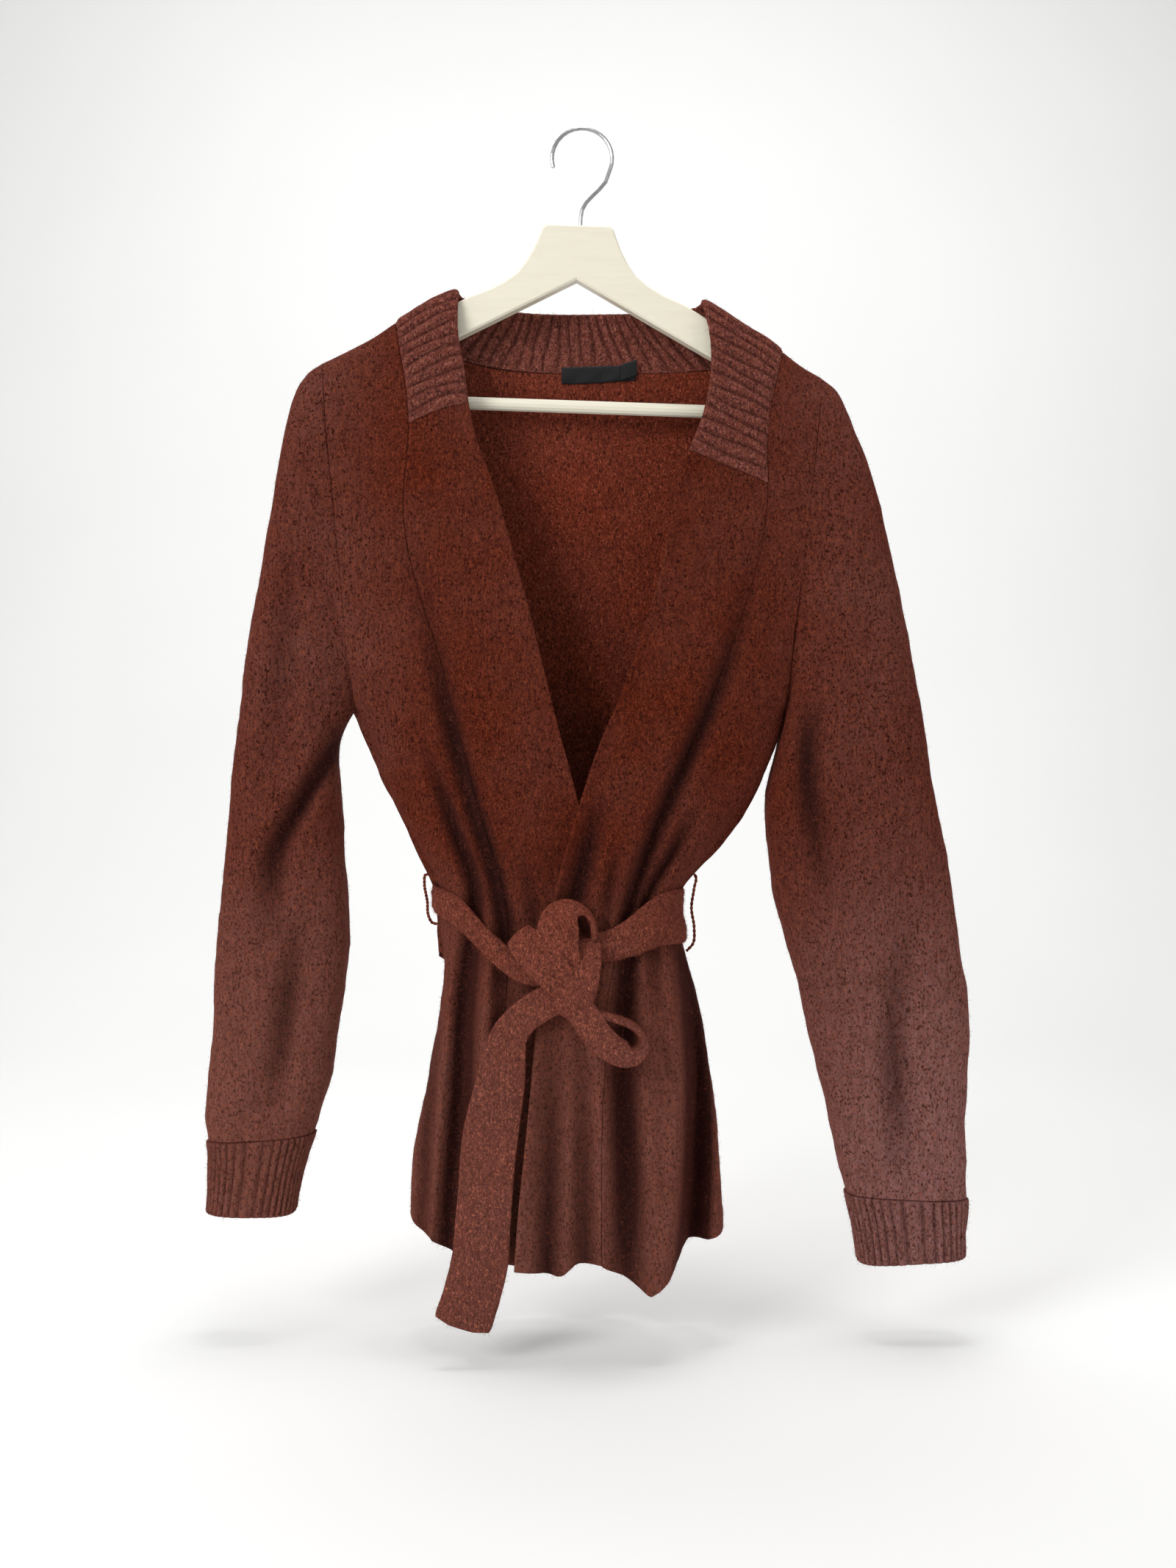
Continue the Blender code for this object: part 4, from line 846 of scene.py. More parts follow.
def make_fronts(wool):
    heights = fine_heights(HEM_Z, ARMPIT_Z + UPPER_RISE, PANEL_STEP)
    made = {}
    for name, seam, under, side in (
        ("front_right", RIGHT_SEAM, True, -math.pi / 2),
        ("front_left", LEFT_SEAM, False, math.pi / 2),
    ):
        spots, normals = fine_front(seam, under, side, 62, heights, 130.0)
        outer, inner = shifted(spots, normals, top_fade(heights, spots.shape[1]))
        inner[..., 1] = np.minimum(inner[..., 1], -HALF_SEAM)
        outer, inner = rounded(outer, inner, (HEM_ROUND, JOINED_ROUND, SEAM_ROUND, SIDE_ROUND))
        # Painted shade in the fronts' fold troughs
        hollow = fold_shade_at(FRONT_FOLDS, outer)
        made[name] = (cloth(name + "_cloth", outer, inner, wool, hollow=hollow), outer, inner)
    for name, seam, edge, under, end in (
        ("band_right", RIGHT_SEAM, RIGHT_EDGE, True, RIB_END_RIGHT_FRONT),
        ("band_left", LEFT_SEAM, LEFT_EDGE, False, RIB_END_LEFT_FRONT),
    ):
        heights = fine_heights(HEM_Z, ARMPIT_Z + UPPER_RISE * end - HALF_SEAM, PANEL_STEP)
        spots, normals = fine_front(seam, under, edge, 22, heights, 70.0)
        from_edge = np.linalg.norm(spots - spots[:, -1:], axis=2)
        spots = spots + normals * (EDGE_ROLL * np.exp(-((from_edge / EDGE_ROLL_REACH) ** 2)))[..., None]
        outer, inner = shifted(spots, normals, 1.0)
        outer, inner = rounded(outer, inner, (HEM_ROUND, SEAM_ROUND, SEAM_ROUND, FREE_ROUND))
        # Painted shade in the bands' fold troughs
        hollow = fold_shade_at(FRONT_FOLDS, outer)
        made[name] = (cloth(name + "_cloth", outer, inner, wool, hollow=hollow), outer, inner)
    return made


def make_back(wool):
    heights = fine_heights(HEM_Z, ARMPIT_Z + UPPER_RISE, PANEL_STEP)
    keys = np.arange(len(BACK_TOP_X))
    fine = np.unique(np.concatenate([np.linspace(0, len(keys) - 1, 5 * (len(keys) - 1) + 1)]))
    top_x = np.interp(fine, keys, BACK_TOP_X)
    angles = angle_at(top_x, np.full(len(top_x), ARMPIT_Z + UPPER_RISE))
    angles[0], angles[-1] = -math.pi / 2, math.pi / 2
    tall = np.repeat(heights[:, None], len(angles), axis=1)
    wide = np.repeat(angles[None, :], len(heights), axis=0)
    spots = back_point(wide, tall)
    safe = np.clip(tall, HEM_Z + 1.0, ARMPIT_Z + UPPER_RISE - SMALL_RISE)
    inside = np.clip(wide, -math.pi / 2 + 0.005, math.pi / 2 - 0.005)
    normals = normals_of(back_point, inside, safe, BACK_OUTWARD)
    below = heights <= ARMPIT_Z
    for column_place, away in ((0, -1.0), (-1, 1.0)):
        normals[below, column_place] = (away, 0.0, 0.0)
        normals[~below, column_place] = unit(normals[~below, column_place] * np.array([0.0, 1.0, 1.0]))
    normals[-1] = unit(normals[-1] * np.array([1.0, 0.0, 1.0]))
    on = np.array([on_neck(x) for x in top_x])
    turns = np.clip(neck_turn(top_x[on]), 1.0, 2.0)
    zero = np.zeros(len(turns))
    places = collar_place(turns, zero)
    down = unit(collar_place(turns, zero + 0.1) - places)
    spots[-1, on] = places - down * HALF_SEAM
    normals[-1, on] = collar_normals(turns, zero)
    spots[-1, :, 1] = np.maximum(spots[-1, :, 1], HALF_SEAM)
    outer, inner = shifted(spots, normals, top_fade(heights, len(angles)))
    inner[..., 1] = np.maximum(inner[..., 1], HALF_SEAM)
    outer, inner = rounded(outer, inner, (HEM_ROUND, JOINED_ROUND, SIDE_ROUND, SIDE_ROUND))
    # Painted shade in the back's fold troughs
    hollow = fold_shade_at(BACK_FOLDS, outer)
    return {"back": (cloth("back_cloth", outer, inner, wool, hollow=hollow), outer, inner)}


def fine_collar_turns(each):
    """Values of t at even steps along the collar, and the rib number at each."""
    fine = np.linspace(0, 3, 3001)
    line = collar_place(fine, np.full(len(fine), 0.5))
    reach = np.concatenate([[0], np.cumsum(np.linalg.norm(np.diff(line, axis=0), axis=1))])
    ribs = COLLAR_RIBS * graded(each * COLLAR_RIBS + 1, reach[-1], near=(0.3, 0.9))
    return np.interp(ribs / COLLAR_RIBS * reach[-1], reach, fine), ribs


def groove_shade(rise):
    """Painted shade in the narrow groove beside each knitted rib: how dark it is drawn."""
    return 0.75 * np.exp(-((rise / (0.5 * RIB_SHOWN)) ** 2))


def make_collar(wool):
    turns, ribs = fine_collar_turns(8)
    shares = graded(26, 62.0)
    t, q = np.meshgrid(turns, shares, indexing="ij")
    spots = collar_place(t, q)
    normals = collar_normals(np.clip(t, 0.01, 2.99), q)
    seam_turns, seam_outer, seam_inner = collar_seam()
    seam_normal = unit(seam_outer - seam_inner)
    for axis in range(3):
        spots[:, 0, axis] = np.interp(turns, seam_turns, seam_outer[:, axis])
        normals[:, 0, axis] = np.interp(turns, seam_turns, seam_normal[:, axis])
    normals = unit(normals)
    wobble = ribs[:, None] + 0.10 * np.sin(q * 5 + ribs[:, None] * 1.7)
    raised = RIB_SHOWN * np.abs(np.sin(math.pi * wobble)) ** 0.7
    under = 1.3 * RIB_SHOWN * np.abs(np.cos(math.pi * wobble)) ** 0.7
    near_end = np.minimum(ribs, COLLAR_RIBS - ribs)[:, None]
    low = np.clip(near_end / 0.6, 0.2, 1.0) * np.clip(q / 0.05, 0.25, 1.0)
    low = low * np.clip((1.04 - q) / 0.1, 0.4, 1.0)
    outer = spots + normals * ((raised * low - 0.2) + unevenness(spots) * 0.5)[..., None]
    inner = outer - normals * (WALL + (raised + under - RIB_SHOWN) * low)[..., None]
    for end, neighbour in ((0, 1), (-1, -2)):
        upward = unit(outer[neighbour] - outer[end]) * HALF_SEAM
        outer[end] += upward
        inner[end] += upward
    outer, inner = rounded(outer, inner, (SEAM_ROUND, SEAM_ROUND, SEAM_ROUND, FREE_ROUND))
    # Painted shade in the grooves between the collar's ribs, on both its sides
    rib_groove_shade = np.stack([groove_shade(raised), groove_shade(under)]) * np.clip(low, 0.0, 1.0)
    return {"collar_rib": (cloth("collar_cloth", outer, inner, wool, hollow=rib_groove_shade), outer, inner)}


def fine_rows(rows, length):
    """The rings of a tube read smoothly between the rows of its table."""
    keys = np.arange(len(rows))
    places = graded(int(length / SLEEVE_STEP), length) * (len(rows) - 1)
    return np.stack([smooth_read(places, keys, [row[part] for row in rows]) for part in range(5)], axis=1)


def fine_rings(rows, turns, ribs):
    across = signed_power(np.cos(turns), 2 / RIDGE_POWER)
    deep = -signed_power(np.sin(turns), 2 / RIDGE_POWER)
    phase = turns * ribs / 2 if ribs else turns
    raised = RIB_SHOWN * 0.8 * np.abs(np.sin(phase)) ** 0.6 if ribs else 0 * turns
    under = RIB_SHOWN * 0.8 * np.abs(np.cos(phase)) ** 0.6 if ribs else 0 * turns
    outer, inner = [], []
    for outer_x, outer_z, inner_x, inner_z, depth in rows:
        far = np.array([outer_x, 0.0, outer_z])
        near = np.array([inner_x, 0.0, inner_z])
        half = np.linalg.norm(far - near) / 2
        axis = (far - near) / (2 * half)
        middle = (far + near) / 2
        for found, less in ((outer, -raised), (inner, WALL - 0.4 * under)):
            ring = middle + np.outer(across * (half - less), axis)
            ring[:, 1] += deep * (depth - less)
            sink = fold_depth(SLEEVE_FOLDS, ring[:, 0], ring[:, 2])
            sink = (sink + fold_depth(CROSS_FOLDS, ring[:, 2], ring[:, 0])) * np.abs(deep) ** 2
            ring[:, 1] -= np.sign(deep) * sink * np.where(deep < 0, 1.0, 0.5)
            found.append(ring)
    return np.array(outer), np.array(inner)


def make_sleeves(wool):
    made = {}
    for name, cuff_name, rows, cuff_rows, away in (
        ("sleeve_right", "cuff_right", RIGHT_SLEEVE, RIGHT_CUFF, -1.0),
        ("sleeve_left", "cuff_left", LEFT_SLEEVE, LEFT_CUFF, 1.0),
    ):
        for piece, table, count, length, ribs, radii in (
            (name, rows, 92, 610.0, 0, (JOINED_ROUND, SEAM_ROUND, 0, 0)),
            (cuff_name, cuff_rows, 8 * CUFF_RIBS, 60.0, 2 * CUFF_RIBS, (SEAM_ROUND, HEM_ROUND, 0, 0)),
        ):
            turns = np.arange(count) * 2 * math.pi / count
            outer, inner = fine_rings(fine_rows(table, length), turns, ribs)
            if ribs:
                outer[:, :, 2] -= 2 * HALF_SEAM
                inner[:, :, 2] -= 2 * HALF_SEAM
            else:
                outer[0, :, 0] += 2 * HALF_SEAM * away
                inner[0, :, 0] += 2 * HALF_SEAM * away
            way = unit(outer - inner)
            fade = np.ones(len(outer)) if ribs else step_up(np.arange(len(outer)) / 8.0)
            move = (unevenness(outer) * fade[:, None])[..., None] * way
            outer, inner = rounded(outer + move, inner + move, radii)
            # Painted shade in the sleeve's fold troughs, on its front half only
            hollow = fold_shade_at(SLEEVE_FOLDS, outer) * (outer[..., 1] < 0)
            if ribs:
                rise = RIB_SHOWN * np.abs(np.sin(turns * ribs / 2)) ** 0.6
                # The cuff's rib grooves get painted shade as well
                hollow = np.maximum(hollow, 0.7 * groove_shade(rise)[None, :])
            thing = cloth(piece + "_cloth", outer, inner, wool, ring=True, hollow=hollow)
            made[piece] = (thing, outer, inner)
    return made


def make_belt_stretch(name, rows, wool):
    """A soft strip on the body's ring, thick in the middle and with a fine line along each edge."""
    keys = np.array(column(rows, STRETCH_COLUMNS, "angle"))
    fine = keys[0] + (keys[-1] - keys[0]) * np.linspace(0, 1, 90)
    middles = read_rows(fine, rows, STRETCH_COLUMNS, "angle", "z")
    widths = read_rows(fine, rows, STRETCH_COLUMNS, "angle", "width")
    angles = np.radians(fine)
    places = -0.5 + graded(26, 30.0)
    outer, inner = [], []
    for place in places:
        heights = middles + widths * place
        spots = ring_point(angles, heights)
        normals = normals_of(ring_point, angles, heights, spots * np.array([1.0, 1.0, 0.0]))
        bulge = 1 - np.abs(2 * place) ** 5
        crease = 0.9 * np.exp(-(((np.abs(place) - 0.36) * widths / 1.3) ** 2))
        rise = (BELT_GAP + BELT_THICK * (0.3 + 0.7 * bulge) - crease + unevenness(spots) * 0.35)
        outer.append(spots + normals * rise[:, None])
        inner.append(spots + normals * BELT_GAP)
    outer, inner = rounded(np.array(outer), np.array(inner), (2.0, 2.0, 0, 0))
    return cloth(name + "_cloth", outer, inner, wool), outer, inner


def ribbon(name, rows, wool, thick, around=36, steps=8, crease=0.8):
    """A flattened soft strip through the given places in front of the cloth."""
    keys = np.arange(len(rows))
    fine = np.linspace(0, len(rows) - 1, (len(rows) - 1) * steps + 1)
    x, z, lift, width, degrees = (smooth_read(fine, keys, part) for part in np.array(rows, float).T)
    on_body = np.maximum(z, HEM_Z)
    base = ring_point(angle_at(x, on_body), on_body)
    middle = np.stack([x, base[:, 1] - lift, z], axis=1)
    forward = unit(np.gradient(middle, axis=0))
    twist = np.radians(degrees)[:, None]
    flat = unit(np.cross(forward, np.array([0.0, -1.0, 0.0])))
    raised = np.cross(flat, forward)
    wide = flat * np.cos(twist) + raised * np.sin(twist)
    thin = np.cross(forward, wide)
    turns = np.arange(around) * 2 * math.pi / around
    across = signed_power(np.cos(turns), 0.7)
    deep = signed_power(np.sin(turns), 0.6)
    groove = crease * np.exp(-(((np.abs(across) - 0.78) / 0.07) ** 2)) * np.abs(np.sin(turns))
    rings = middle[:, None] + across[None, :, None] * (width / 2)[:, None, None] * wide[:, None]
    rings = rings + (deep * (thick / 2 - groove))[None, :, None] * thin[:, None]
    way = unit(rings - middle[:, None])
    rings = rings + (unevenness(rings) * 0.45)[..., None] * way
    squeeze = np.ones(len(fine))
    for distance in (np.arange(len(fine)), np.arange(len(fine))[::-1]):
        squeeze = np.minimum(squeeze, edge_share(distance.astype(float) * 1.6, 3.0))
    rings = middle[:, None] + (rings - middle[:, None]) * squeeze[:, None, None] ** 0.35
    count = len(fine)
    quads = grid_faces(count, around, 0, ring=True)
    points = rings.reshape(-1, 3)
    extra = len(points)
    points = np.concatenate([points, middle[:1], middle[-1:]])
    first = np.arange(around)
    last = first + (count - 1) * around
    start_tip, end_tip = np.full(around, extra), np.full(around, extra + 1)
    triangles = np.concatenate([
        np.stack([np.roll(first, -1), first, start_tip], axis=-1),
        np.stack([last, np.roll(last, -1), end_tip], axis=-1),
    ])
    thing = mesh_object(name, points, quads, wool)
    shape = bmesh.new()
    shape.from_mesh(thing.data)
    shape.verts.ensure_lookup_table()
    for a, b, c in triangles:
        shape.faces.new((shape.verts[a], shape.verts[b], shape.verts[c]))
    bmesh.ops.recalc_face_normals(shape, faces=shape.faces)
    for face in shape.faces:
        face.smooth = True
    shape.to_mesh(thing.data)
    shape.free()
    return thing, rings, rings


def twisted_wire(name, points, radius, twists, wool):
    """A thread loop of two plies wound round each other."""
    line = np.array(points, float)
    reach = np.concatenate([[0], np.cumsum(np.linalg.norm(np.diff(line, axis=0), axis=1))])
    fine = np.linspace(0, reach[-1], 120)
    centre = np.stack([smooth_read(fine, reach, line[:, axis]) for axis in range(3)], axis=1)
    forward = unit(np.gradient(centre, axis=0))
    side = unit(np.cross(forward, np.array([0.0, -1.0, 0.0])))
    other = np.cross(forward, side)
    curve = bpy.data.curves.new(name, "CURVE")
    curve.dimensions = "3D"
    curve.bevel_depth = radius * 0.62 * MM
    curve.bevel_resolution = 2
    curve.use_fill_caps = True
    for start in (0.0, math.pi):
        turn = start + np.linspace(0, twists * 2 * math.pi, len(fine))
        ply = centre + (np.cos(turn)[:, None] * side + np.sin(turn)[:, None] * other) * radius * 0.5
        spline = curve.splines.new("POLY")
        spline.points.add(len(ply) - 1)
        spline.points.foreach_set("co", np.c_[ply * MM, np.ones(len(ply))].ravel())
    thing = bpy.data.objects.new(name, curve)
    bpy.context.scene.collection.objects.link(thing)
    curve.materials.append(wool)
    return thing


SHOWN_STRETCHES = {
    "belt_front_right": BELT_RIGHT_STRETCH + ((-12.0, -691.0, 22), (-7.0, -694.0, 20)),
    "belt_front_left": BELT_LEFT_STRETCH + ((13.0, -672.0, 23), (6.0, -672.5, 22)),
    "belt_back": BELT_BACK_STRETCH,
}
SHOWN_RIBBONS = {
    "belt_knot_top": (
        (-9.0, -700.0, 10.0, 22, 0), (-13.0, -690.0, 15.0, 27, 0), (-17.0, -676.0, 18.0, 32, 0),
        (-18.5, -661.0, 18.0, 33, -6), (-16.0, -648.0, 16.5, 30, 8), (-9.0, -640.5, 14.5, 25, 48),
        (0.0, -641.0, 12.0, 19, 78), (6.5, -647.0, 10.5, 16, 88), (9.5, -656.0, 9.5, 15, 90),
        (10.0, -666.0, 8.0, 14, 90),
    ),
    "belt_knot_wrap": (
        (-51.0, -660.0, 7.5, 20, 0), (-44.0, -668.0, 12.0, 27, 0), (-34.0, -677.0, 17.0, 30, -4),
        (-24.0, -687.0, 20.0, 30, 0), (-14.0, -698.0, 18.0, 27, 6), (-6.0, -708.0, 11.0, 22, 8),
    ),
    "belt_knot_low": (
        (4.0, -664.0, 8.0, 20, 0), (3.0, -676.0, 13.5, 26, 0), (0.0, -690.0, 17.0, 30, 0),
        (-4.0, -704.0, 18.0, 31, 0), (-9.0, -716.0, 15.5, 28, 0), (-14.0, -724.0, 10.0, 24, 0),
    ),
    "belt_tail": (
        (-8.0, -706.0, 10.0, 22, 0), (-20.0, -710.0, 11.0, 25, 0), (-34.0, -717.0, 10.0, 26, -6),
        (-47.0, -727.0, 8.0, 26, -10), (-56.5, -740.0, 6.5, 29, -6), (-61.0, -757.0, 5.5, 35, 0),
        (-63.5, -777.0, 5.0, 39, 2), (-68.0, -800.0, 5.0, 42, 3), (-72.0, -823.0, 5.2, 44, 1),
        (-75.0, -852.0, 5.5, 43, -2), (-77.5, -885.0, 5.6, 43, -3), (-80.0, -916.0, 5.6, 44, 0),
        (-86.5, -944.0, 6.5, 45, 2), (-95.5, -971.0, 7.5, 47, 4),
    ),
    "belt_bow": (
        (-10.0, -704.0, 11.0, 22, 0), (-3.0, -715.0, 15.0, 23, 0), (5.0, -727.0, 18.0, 23, 2),
        (14.0, -739.0, 20.5, 22, 6), (24.0, -747.5, 22.0, 21, 14), (34.0, -752.0, 21.5, 20, 30),
        (42.0, -752.0, 19.5, 19, 52), (47.5, -746.5, 17.0, 18, 74), (46.5, -738.5, 15.0, 18, 88),
        (39.5, -731.5, 13.5, 17, 92), (29.0, -727.0, 12.5, 16, 92), (17.0, -723.5, 11.5, 15, 92),
        (5.0, -718.0, 10.5, 14, 92), (-6.0, -709.0, 9.0, 14, 90),
    ),
}


def make_carriers(wool):
    made = {}
    for name, rows, side in (("carrier_right", CARRIER_RIGHT, -1.0), ("carrier_left", CARRIER_LEFT, 1.0)):
        points = []
        heights, offs = (column(rows, CARRIER_COLUMNS, part) for part in ("z", "off_the_side"))
        for z, off in zip(heights, offs):
            edge = ring_point(side * math.pi / 2, np.array(z, float))
            points.append((float(edge[0]) + side * off, 0.0, z))
        made[name] = twisted_wire(name + "_thread", points, CARRIER_WIRE / 2, 9, wool)
    return made


def make_label(tape):
    """A thin bare woven tape on the inside of the back neck, its far end folded up with a small tab."""
    u, v = np.meshgrid(np.linspace(0, 1, 60), np.linspace(0, 1, 14))
    low = LABEL_TOP_Z - LABEL_HEIGHT * v
    wall = NECK_DEPTH - WALL - LABEL_GAP
    tape_x = LABEL_LEFT_X + (LABEL_RIGHT_X - LABEL_LEFT_X) * u
    tape_z = low + 2.0 * u - 0.6 * np.sin(u * 5.0) * v
    tape_y = wall - LABEL_SLANT * v - 0.7 * np.sin(u * 9.0 + v * 2) ** 2 * v
    tab_x = LABEL_RIGHT_X - 13.0 + 14.0 * u
    tab_z = low + 1.6 + 4.5 * u
    tab_y = wall - LABEL_THICK - 0.9 - LABEL_SLANT * v - 0.5 * np.sin(math.pi * u)
    made = []
    for name, x, y, z in (("label_tape", tape_x, tape_y, tape_z), ("label_tab", tab_x, tab_y, tab_z)):
        front = np.stack([x, y - LABEL_THICK, z], axis=-1)
        outer, inner = rounded(front, front + np.array([0.0, LABEL_THICK, 0.0]), (TAPE_ROUND,) * 4)
        made.append(cloth(name, outer, inner, tape))
    return made


def fuzz(name, grids, count, seed, material, reach=(2.5, 7.5), lift=(0.05, 0.5)):
    """Loose fibres of the brushed wool over the given grids, joined into one mesh."""
    rng = np.random.default_rng(seed)
    corners = []
    for grid, sign in grids:
        a, b = grid[:-1, :-1], grid[:-1, 1:]
        c, d = grid[1:, 1:], grid[1:, :-1]
        for first, second, third in ((a, b, c), (a, c, d)):
            corners.append((np.stack([first, second, third], axis=-2).reshape(-1, 3, 3), sign))
    triangles = np.concatenate([part for part, _ in corners])
    signs = np.concatenate([np.full(len(part), sign) for part, sign in corners])
    cross = np.cross(triangles[:, 1] - triangles[:, 0], triangles[:, 2] - triangles[:, 0])
    area = np.linalg.norm(cross, axis=1)
    pick = rng.choice(len(triangles), count, p=area / area.sum())
    normal = unit(cross[pick]) * signs[pick][:, None]
    first, second = rng.random(count), rng.random(count)
    over = first + second > 1
    first, second = np.where(over, 1 - first, first), np.where(over, 1 - second, second)
    t = triangles[pick]
    root = t[:, 0] + (t[:, 1] - t[:, 0]) * first[:, None] + (t[:, 2] - t[:, 0]) * second[:, None]
    way = rng.normal(size=(count, 3))
    way[:, 2] -= 0.5
    way = unit(way - normal * np.sum(way * normal, axis=1, keepdims=True))
    turn = unit(np.cross(way, normal))
    length = rng.uniform(*reach, count) * rng.uniform(0.6, 1.0, count)
    rise = rng.uniform(*lift, count)
    curl = rng.normal(0, 0.45, count)
    half = rng.uniform(0.045, 0.085, count)
    points = []
    for share, width in ((0.0, 1.0), (0.5, 0.9), (1.0, 0.0)):
        bend = curl * share * share
        ahead = way * np.cos(bend)[:, None] + turn * np.sin(bend)[:, None]
        spot = root + ahead * (length * share)[:, None]
        spot = spot + normal * (length * rise * math.sin(share * 2.2) * 0.9 - 0.25)[:, None]
        points.append(spot - turn * (half * width)[:, None])
        if width:
            points.append(spot + turn * (half * width)[:, None])
    points = np.stack(points, axis=1).reshape(-1, 3)
    base = np.arange(count)[:, None] * 5
    triangles = np.concatenate([base + [0, 1, 3], base + [0, 3, 2], base + [2, 3, 4]])
    return mesh_object(name, points, triangles, material)


def outward_sign(outer, inner):
    """1 where the cross product of the grid's own steps points out of the cloth, or -1."""
    row, column_place = outer.shape[0] // 2, outer.shape[1] // 2
    a = outer[row, column_place]
    way = np.cross(outer[row, column_place + 1] - a, outer[row + 1, column_place + 1] - a)
    return 1.0 if np.dot(way, a - inner[row, column_place]) > 0 else -1.0


def new_material(name):
    material = bpy.data.materials.new(name)
    material.use_nodes = True
    tree = material.node_tree
    return material, tree.nodes, tree.links, tree.nodes["Principled BSDF"]


def noise(nodes, links, source, scale, detail, rough, stretch=(1.0, 1.0, 1.0), distortion=0.0):
    mapping = nodes.new("ShaderNodeMapping")
    mapping.inputs["Scale"].default_value = stretch
    texture = nodes.new("ShaderNodeTexNoise")
    texture.inputs["Scale"].default_value = scale
    texture.inputs["Detail"].default_value = detail
    texture.inputs["Roughness"].default_value = rough
    texture.inputs["Distortion"].default_value = distortion
    links.new(source, mapping.inputs["Vector"])
    links.new(mapping.outputs["Vector"], texture.inputs["Vector"])
    return texture.outputs["Fac"]


def ramp(nodes, links, source, low, high, dark=(0.0, 0.0, 0.0), light=(1.0, 1.0, 1.0)):
    made = nodes.new("ShaderNodeValToRGB")
    made.color_ramp.elements[0].position = low
    made.color_ramp.elements[0].color = (*dark, 1.0)
    made.color_ramp.elements[1].position = high
    made.color_ramp.elements[1].color = (*light, 1.0)
    links.new(source, made.inputs["Fac"])
    return made.outputs["Color"]


def mix(nodes, links, share, first, second, kind="MIX"):
    made = nodes.new("ShaderNodeMix")
    made.data_type = "RGBA"
    made.blend_type = kind
    if isinstance(share, float):
        made.inputs["Factor"].default_value = share
    else:
        links.new(share, made.inputs["Factor"])
    for place, value in ((6, first), (7, second)):
        if isinstance(value, tuple):
            made.inputs[place].default_value = (*value, 1.0)
        else:
            links.new(value, made.inputs[place])
    return made.outputs[2]


def value_range(nodes, links, source, low, high):
    made = nodes.new("ShaderNodeMapRange")
    made.interpolation_type = "SMOOTHSTEP"
    made.inputs["From Min"].default_value = low
    made.inputs["From Max"].default_value = high
    links.new(source, made.inputs["Value"])
    return made.outputs["Result"]


def calculate(nodes, links, kind, first, second, third=None):
    made = nodes.new("ShaderNodeMath")
    made.operation = kind
    made.use_clamp = kind != "ABSOLUTE"
    for place, value in enumerate((first, second, third)):
        if value is None:
            continue
        if isinstance(value, float):
            made.inputs[place].default_value = value
        else:
            links.new(value, made.inputs[place])
    return made.outputs["Value"]


def surface(shader, **values):
    """Sets the shader's own sockets; a word's underscore stands for a space."""
    for name, value in values.items():
        shader.inputs[name.replace("_", " ")].default_value = value


def bumps(nodes, links, shader, *layers):
    """Layers of (height, strength, distance), each laid over the one before."""
    below = None
    for height, strength, distance in layers:
        made = nodes.new("ShaderNodeBump")
        made.inputs["Strength"].default_value = strength
        made.inputs["Distance"].default_value = distance
        links.new(height, made.inputs["Height"])
        if below is not None:
            links.new(below, made.inputs["Normal"])
        below = made.outputs["Normal"]
    links.new(below, shader.inputs["Normal"])


def wool_material(name, rust, plum, pale):
    """Brushed mixed-colour wool: rust near the middle, plum outwards and lower, flecks and nap, with
    painted shade darkening fold troughs and rib grooves.
    """
    material, nodes, links, shader = new_material(name)
    place = nodes.new("ShaderNodeTexCoord").outputs["Object"]
    split = nodes.new("ShaderNodeSeparateXYZ")
    links.new(place, split.inputs["Vector"])
    away = calculate(nodes, links, "ABSOLUTE", split.outputs["X"], None)
    outward = value_range(nodes, links, away, 0.11, 0.24)
    lower = value_range(nodes, links, split.outputs["Z"], -0.55, -0.80)
    patches = ramp(nodes, links, noise(nodes, links, place, 8.0, 4.0, 0.6), 0.36, 0.66)
    share = calculate(nodes, links, "MULTIPLY_ADD", patches, 0.42, 0.0)
    share = calculate(nodes, links, "MULTIPLY_ADD", outward, 0.50, share)
    share = calculate(nodes, links, "MULTIPLY_ADD", lower, 0.62, share)
    colour = mix(nodes, links, share, rust, plum)
    far = value_range(nodes, links, split.outputs["X"], 0.14, 0.27)
    bottom = value_range(nodes, links, split.outputs["Z"], -0.55, -0.86)
    colour = mix(nodes, links, calculate(nodes, links, "MULTIPLY", far, bottom), colour, pale)
    dark = (rust[0] * 0.26, rust[1] * 0.36, rust[2] * 0.5)
    light = (rust[0] * 3.2, rust[1] * 5.2, rust[2] * 6.0)
    streaks = noise(nodes, links, place, 1.0, 5.0, 0.7, (300.0, 300.0, 80.0), 0.8)
    shade = ramp(nodes, links, streaks, 0.40, 0.60)
    colour = mix(nodes, links, shade, mix(nodes, links, 0.45, colour, dark), colour)
    flecks = noise(nodes, links, place, 1.0, 3.0, 0.75, (720.0, 720.0, 380.0), 1.2)
    colour = mix(nodes, links, ramp(nodes, links, flecks, 0.50, 0.76), colour, light)
    pits = noise(nodes, links, place, 1.0, 2.0, 0.6, (560.0, 560.0, 400.0), 0.4)
    colour = mix(nodes, links, ramp(nodes, links, pits, 0.33, 0.50), dark, colour)
    # Painted shade: the attribute set in fold troughs and rib grooves drives how dark the colour gets
    hollow = nodes.new("ShaderNodeAttribute")
    hollow.attribute_name = "hollow"
    deep = calculate(nodes, links, "MULTIPLY", hollow.outputs["Fac"], 0.95)
    lifted = mix(nodes, links, lower, (0.0, 0.0, 0.0), (0.035, 0.016, 0.012))
    colour = mix(nodes, links, 1.0, colour, lifted, "ADD")
    # Near-black colour of the painted shade in troughs and grooves
    colour = mix(nodes, links, deep, colour, (0.020, 0.006, 0.005))
    links.new(colour, shader.inputs["Base Color"])
    surface(shader, Roughness=0.96, Specular_IOR_Level=0.05, Sheen_Weight=0.10, Sheen_Roughness=0.4)
    surface(shader, Sheen_Tint=(1.0, 0.22, 0.16, 1.0))
    bumps(nodes, links, shader, (streaks, 0.9, 0.0014), (flecks, 0.9, 0.0008))
    return material


